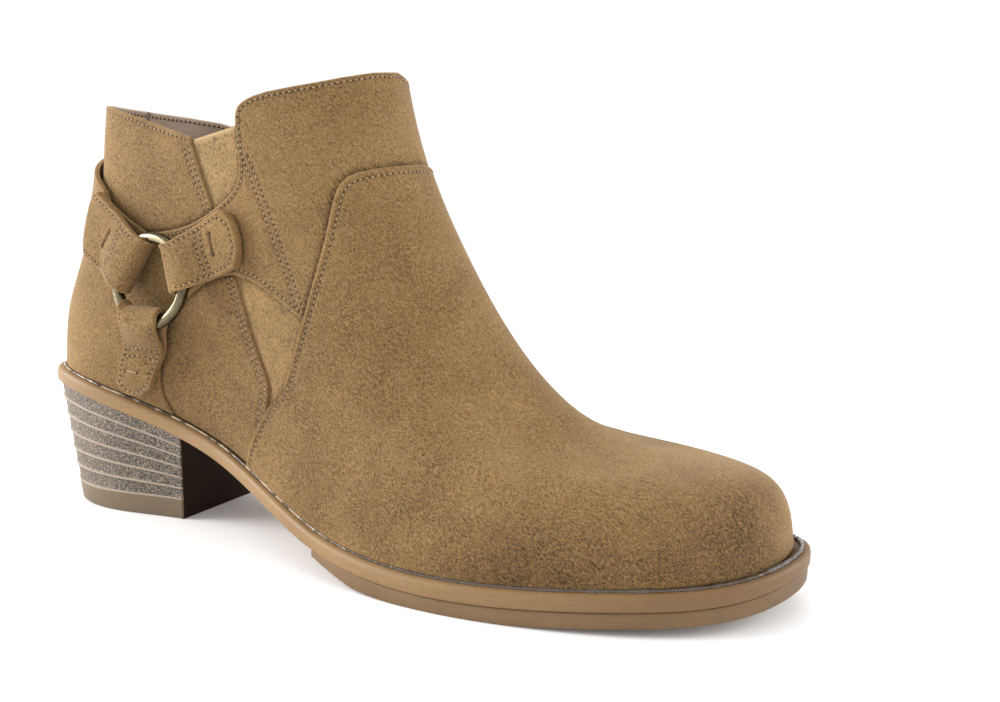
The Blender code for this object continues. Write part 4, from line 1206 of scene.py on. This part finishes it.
class StrapFace:
    """Where a strap's outer and inner faces lie, over its width t (-1..1) and its run."""

    def __init__(self, strap):
        self.strap = strap
        middle, flat, rising, self.out = RING
        a = math.radians(strap.heading)
        self.ahead = math.cos(a) * flat + math.sin(a) * rising
        self.aside = math.cos(a) * rising - math.sin(a) * flat
        self.middle = middle
        self.seat = BAND_OFF + BAND_THICK + 2 * GAP if strap.over_band else STRAP_OFF
        self.hole = WIRE_RADIUS + GAP
        self.nose = self.hole + PLY
        self.half = STRAP_HALF * strap.half

    def columns(self, t):
        """Per column: the wire's place, the far end's place, where the end stops and the fold's place."""
        s = self.strap
        across = t * self.half + s.aside * RING_RADIUS
        reach = np.sqrt(RING_RADIUS**2 - across**2)
        wire = self.middle + self.aside * across[:, None] + self.ahead * reach[:, None]
        share = (1 - t) / 2
        u1 = s.near_round + (s.far_round - s.near_round) * share
        v1 = s.near_up + (s.far_up - s.near_up) * share
        far = raised(u1, v1, np.full(len(t), self.seat))
        stop = 1 - 0.14 * np.abs(t) ** 2.6
        turn = wire + self.ahead * np.minimum(s.reach * RING_RADIUS + self.nose - reach, 0.0)[:, None]
        return wire, far, stop, turn, foot_of(wire)[2]

    def sheet(self, columns, r, top, skin=0.0):
        """Points of the outer or inner ply at run r, or under its skin."""
        wire, far, stop, _, h0 = columns
        s = r * stop
        u, v, _ = foot_of(wire + (far - wire) * s[:, None])
        drop = np.clip(s / 0.5, 0, 1)
        ease = drop * drop * (3 - 2 * drop)
        rise = self.nose if top else -self.nose
        height = (h0 + rise) * (1 - ease) + (self.seat + (2 * PLY if top else 0.0)) * ease
        p = raised(u, v, height - skin if top else height + skin)
        near = np.clip(1 - s / 0.10, 0, 1)[:, None]
        side = self.out if top else -self.out
        return p * (1 - near) + (wire + side * (self.nose - skin)) * near

    def faces(self, t, runs, arcs, back_runs):
        """Outer and inner face points: rows along the strap from its far end over the fold and back."""
        columns = self.columns(t)
        skin = PLY - 0.00005
        outer = [self.sheet(columns, r, True) for r in runs]
        inner = [self.sheet(columns, r, True, skin) for r in runs]
        for b in arcs:
            way = math.cos(b) * self.out - math.sin(b) * self.ahead
            outer.append(columns[3] + self.nose * way)
            inner.append(columns[3] + self.hole * way)
        outer += [self.sheet(columns, r, False) for r in back_runs]
        inner += [self.sheet(columns, r, False, skin) for r in back_runs]
        return np.array(outer), np.array(inner)

    def flat(self, t, r):
        """Top face points at width t and run r (0 at the wire, 1 at the far end)."""
        return self.sheet(self.columns(t), r, True)


# Rows of stitches on each strap as lines of (width, run) points, then its slit
STRAP_ROWS = {
    "strap_rear": [
        [(-0.84, 0.04), (-0.84, 0.97)], [(0.84, 0.04), (0.84, 0.97)],
        [(-0.80, 0.22), (0.0, 0.12), (0.80, 0.20)], [(-0.80, 0.30), (0.0, 0.20), (0.80, 0.28)],
    ],
    "strap_front": [
        [(-0.84, 0.04), (-0.84, 0.86), (-0.50, 0.925), (0.0, 0.94), (0.50, 0.925), (0.84, 0.86), (0.84, 0.04)],
        [(-0.80, 0.41), (-0.4, 0.355), (0.0, 0.335), (0.4, 0.36), (0.80, 0.45)],
        [(-0.80, 0.49), (-0.4, 0.435), (0.0, 0.415), (0.4, 0.44), (0.80, 0.53)],
    ],
    "strap_down": [
        [(-0.84, 0.04), (-0.84, 0.86), (-0.50, 0.925), (0.0, 0.94), (0.50, 0.925), (0.84, 0.86), (0.84, 0.04)],
        [(-0.80, 0.45), (-0.4, 0.375), (0.0, 0.345), (0.4, 0.36), (0.80, 0.43)],
        [(-0.80, 0.55), (-0.4, 0.475), (0.0, 0.450), (0.4, 0.47), (0.80, 0.54)],
    ],
}
STRAP_SLITS = {
    "strap_rear": [(-0.35, 0.41), (-0.05, 0.42), (0.25, 0.46)],
    "strap_front": [(-0.25, 0.56), (0.20, 0.575), (0.50, 0.625)],
    "strap_down": [(-0.58, 0.70), (-0.25, 0.67), (0.07, 0.68)],
}


def fine_path(table, count=160):
    """Straight runs through a small table, its points evenly spread."""
    pts = np.array(table, float)
    run = run_of(pts)
    at = np.linspace(0, run[-1], count)
    return read_off(at, run, pts)


def widths(close, start, count):
    """Places over a strap's width, -1 to 1, close together near both edges."""
    edge = np.concatenate([close, np.linspace(start, 1, count)])
    return np.concatenate([edge - 1, (1 - edge)[::-1][1:]])


def build_band(sewn):
    """The band round the heel's back, its rows added to the other stitches."""
    path = np.array(BAND)
    whole = np.vstack([path[::-1] * (-1, 1), path[1:]])
    u = np.linspace(whole[0, 0], whole[-1, 0], BAND_POINTS)
    middle = natural_spline(whole[:, 0], whole[:, 1], u)
    share = np.abs(u) / BAND[-1][0]
    half = BAND_HALF * np.sqrt(np.clip(1 - np.clip((share - 0.86) / 0.17, 0, 1) ** 2, 0.05, 1))
    t = widths([0, 0.01, 0.025, 0.05, 0.08], 0.12, 12)
    tops, unders, seam, rim = [], [], [], []
    for w in t:
        gap = (1 - abs(w)) * BAND_HIGH
        ends = (BAND[-1][0] - np.abs(u)) * 0.026
        border = np.minimum(gap, ends)
        dip = ROW_SINK * np.exp(-((gap - BAND_ROW) / 0.0005) ** 2)
        tops.append(raised(u, middle + half * w, BAND_OFF + BAND_THICK - rolled(border, STRAP_ROUND) - dip))
        unders.append(raised(u, middle + half * w, np.full(BAND_POINTS, BAND_OFF)))
        seam.append(np.exp(-((gap - BAND_ROW) / 0.0006) ** 2) * np.ones(BAND_POINTS))
        rim.append(np.exp(-border / 0.0007))
    points = np.vstack([np.array(tops).reshape(-1, 3), np.array(unders).reshape(-1, 3)])
    back = len(t) * BAND_POINTS
    marks = {"edge": np.append(rim, np.ones(back)), "seam": np.append(seam, np.zeros(back))}
    faces = sheet_faces(len(t), BAND_POINTS)
    piece = made_piece("strap_back_leather", points, faces, [strap_tan], "strap_nubuck", marks=marks)
    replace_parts(piece, "strap_back")
    for w in (-1 + BAND_ROW / BAND_HIGH, 1 - BAND_ROW / BAND_HIGH):
        keep = np.abs(u) < BAND[-1][0] - 0.12
        place = raised(u[keep], (middle + half * w)[keep], np.full(keep.sum(), BAND_OFF + BAND_THICK - ROW_SINK))
        sewn.row(place, upper_normal(u[keep], (middle + half * w)[keep]))


def build_straps():
    """Strap ends folded round the wire, with stitched edges and slits, and the band."""
    sewn = Stitches()
    for strap in STRAPS:
        face = StrapFace(strap)
        t = widths([0, 0.008, 0.02, 0.04, 0.07], 0.11, 19)
        ends = np.array([0, 0.004, 0.010, 0.020, 0.035])
        runs = np.concatenate([1 - ends, np.linspace(0.94, 0.0, 58)])
        arcs = np.radians(np.linspace(0, 180, 15))[1:-1]
        back = np.linspace(0, 1, 26)
        outer, inner = face.faces(t, runs, arcs, back)
        length = np.linalg.norm(outer[0, len(t) // 2] - outer[len(runs) - 1, len(t) // 2])
        width = face.half * (1 - np.abs(t))
        n_top = len(runs)
        rows = [fine_path(row) for row in STRAP_ROWS[strap.name]]
        stitch = np.vstack(rows) * (face.half, length)
        slit = fine_path(STRAP_SLITS[strap.name], 40) * (face.half, length)
        drop = np.zeros(outer.shape[:2])
        seam = np.zeros(outer.shape[:2])
        rim = np.zeros(outer.shape[:2])
        holes = slit[[0, -1]]
        for k in range(len(outer)):
            r = runs[k] if k < n_top else 0.0
            here = np.column_stack([t * face.half, np.full(len(t), r * length)])
            if k < n_top:
                gap = np.linalg.norm(here[:, None] - stitch, axis=2).min(1)
                cut = np.linalg.norm(here[:, None] - slit, axis=2).min(1)
                pierced = np.linalg.norm(here[:, None] - holes, axis=2).min(1)
                drop[k] += ROW_SINK * np.exp(-(gap / 0.0005) ** 2) + 0.0008 * np.exp(-(cut / 0.00036) ** 2)
                drop[k] += 0.0006 * np.exp(-(pierced / 0.0006) ** 2)
                drop[k] -= 0.00012 * np.exp(-((cut - 0.0009) / 0.0005) ** 2)
                seam[k] = np.exp(-(gap / 0.0006) ** 2)
                border = np.minimum(width, (1 - r) * length)
            else:
                border = width
            drop[k] += rolled(border, STRAP_ROUND)
            rim[k] = np.exp(-border / 0.0007)
        normal = unit(outer - inner)
        outer = outer - normal * drop[..., None]
        points = np.vstack([outer.reshape(-1, 3), inner.reshape(-1, 3)])
        faces = sheet_faces(*outer.shape[:2])
        marks = {"edge": np.append(rim, np.ones(rim.size)), "seam": np.append(seam, np.zeros(rim.size))}
        piece = made_piece(strap.name + "_leather", points, faces, [strap_tan], "strap_nubuck", marks=marks)
        bm = bmesh.new()
        bm.from_mesh(piece.data)
        bmesh.ops.recalc_face_normals(bm, faces=bm.faces)
        bm.to_mesh(piece.data)
        bm.free()
        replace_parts(piece, strap.name)
        for row in rows:
            top = face.flat(row[:, 0], row[:, 1])
            w, r = row.T
            side = face.flat(np.clip(w + 0.02, -1, 1), r) - face.flat(np.clip(w - 0.02, -1, 1), r)
            on = face.flat(w, r + 0.01) - face.flat(w, r - 0.01)
            up = unit(np.cross(side, on))
            up *= np.sign((up * face.out).sum(1))[:, None]
            sewn.row(top - up * 0.0002, up)
        w, r = fine_path(STRAP_SLITS[strap.name], 12).T
        line = face.flat(w, r)
        side, on = face.flat(w[:1] + 0.02, r[:1]) - line[:1], face.flat(w[:1], r[:1] + 0.01) - line[:1]
        up = np.repeat(unit(np.cross(side, on)), 12, 0)
        up *= np.sign(up[0] @ face.out)
        down = strap.name == "strap_down"
        size = 0.00036 * np.sin(np.pi * np.linspace(0.08, 0.92, 12)) ** 0.5
        # Painted shade: on the rear and front straps the slit's own lens, and the eye holes at the slit's ends, take
        # the near-black hole colour for the shade in the cut.
        sewn.tube(line - up * (0.00025 if down else 0.0005), up, size, 0 if down else 1, 8, 0.6)
        for k, ahead in ((0, line[1] - line[0]), (-1, line[-1] - line[-2]))[1 if down else 0:]:
            across_eye = 0.0006 * np.array([-0.9, -0.5, 0.0, 0.5, 0.9])[:, None]
            spot = line[k] + unit(ahead[None]) * across_eye - up[:5] * 0.00035
            sewn.tube(spot, up[:5], 0.0006 * np.array([0.3, 0.85, 1.0, 0.85, 0.3]), 1, 10, 0.5)
    build_band(sewn)
    sewn.build("stitches_harness", [thread_tan, hole_shade], "strap_nubuck")


def build_stage():
    """Pale floor, soft light and the camera of the photo."""
    mesh = bpy.data.meshes.new("floor")
    mesh.from_pydata([(-6, -6, 0), (6, -6, 0), (6, 6, 0), (-6, 6, 0)], [], [(0, 1, 2, 3)])
    floor = bpy.data.objects.new("floor", mesh)
    bpy.context.scene.collection.objects.link(floor)
    paper = Nodes("floor_paper", (0.9, 0.9, 0.9), 0.75)
    paper.shader.inputs["Emission Color"].default_value = (1, 1, 1, 1)
    paper.shader.inputs["Emission Strength"].default_value = 0.035
    mesh.materials.append(paper.done(paper.mix(paper.noise(3), (0.91, 0.91, 0.91), (0.95, 0.95, 0.95))))
    world = bpy.data.worlds.new("studio")
    bpy.context.scene.world = world
    world.use_nodes = True
    world.node_tree.nodes["Background"].inputs["Color"].default_value = (1.0, 1.0, 1.0, 1)
    world.node_tree.nodes["Background"].inputs["Strength"].default_value = 1.03
    lights = [
        ("top", (-0.2, 0.35, 1.3), (0.0, 0.0, 0.05), 1.0, 3.0),
        ("left", (-1.1, -0.55, 0.55), (-0.05, 0.0, 0.08), 0.7, 20.0),
        ("right", (1.1, 0.4, 0.5), (0.02, 0.0, 0.05), 0.7, 10.0),
    ]
    for name, place, target, size, power in lights:
        data = bpy.data.lights.new(name, "AREA")
        data.size, data.energy = size, power
        lamp = bpy.data.objects.new(name, data)
        lamp.location = place
        lamp.rotation_mode = "QUATERNION"
        lamp.rotation_quaternion = (Vector(target) - Vector(place)).to_track_quat("-Z", "Y")
        bpy.context.scene.collection.objects.link(lamp)
    data = bpy.data.cameras.new("camera")
    camera = bpy.data.objects.new("camera", data)
    bpy.context.scene.collection.objects.link(camera)
    azimuth, elevation, roll = (math.radians(a) for a in (23.37005, 8.10214, 2.00941))
    near = math.cos(elevation)
    back = Vector((math.sin(azimuth) * near, -math.cos(azimuth) * near, math.sin(elevation)))
    level_right = Vector((math.cos(azimuth), math.sin(azimuth), 0))
    level_up = back.cross(level_right)
    c, s = math.cos(roll), math.sin(roll)
    right, up = c * level_right + s * level_up, c * level_up - s * level_right
    place = Vector((0.30139754 - MIDDLE[0], -0.28199452 - MIDDLE[1], 0.11296521))
    turn = Matrix((right, up, back)).transposed().to_4x4()
    camera.matrix_world = Matrix.Translation(place) @ turn
    data.sensor_width = 36.0
    data.lens = 953.5695 / 1000 * 36.0
    data.clip_start = 0.01
    bpy.context.scene.camera = camera
    bpy.context.scene.view_settings.view_transform = "Standard"


build_stage()
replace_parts(build_upper(), "upper")
build_lining()
build_soles()
build_heel()
build_ring()
build_straps()
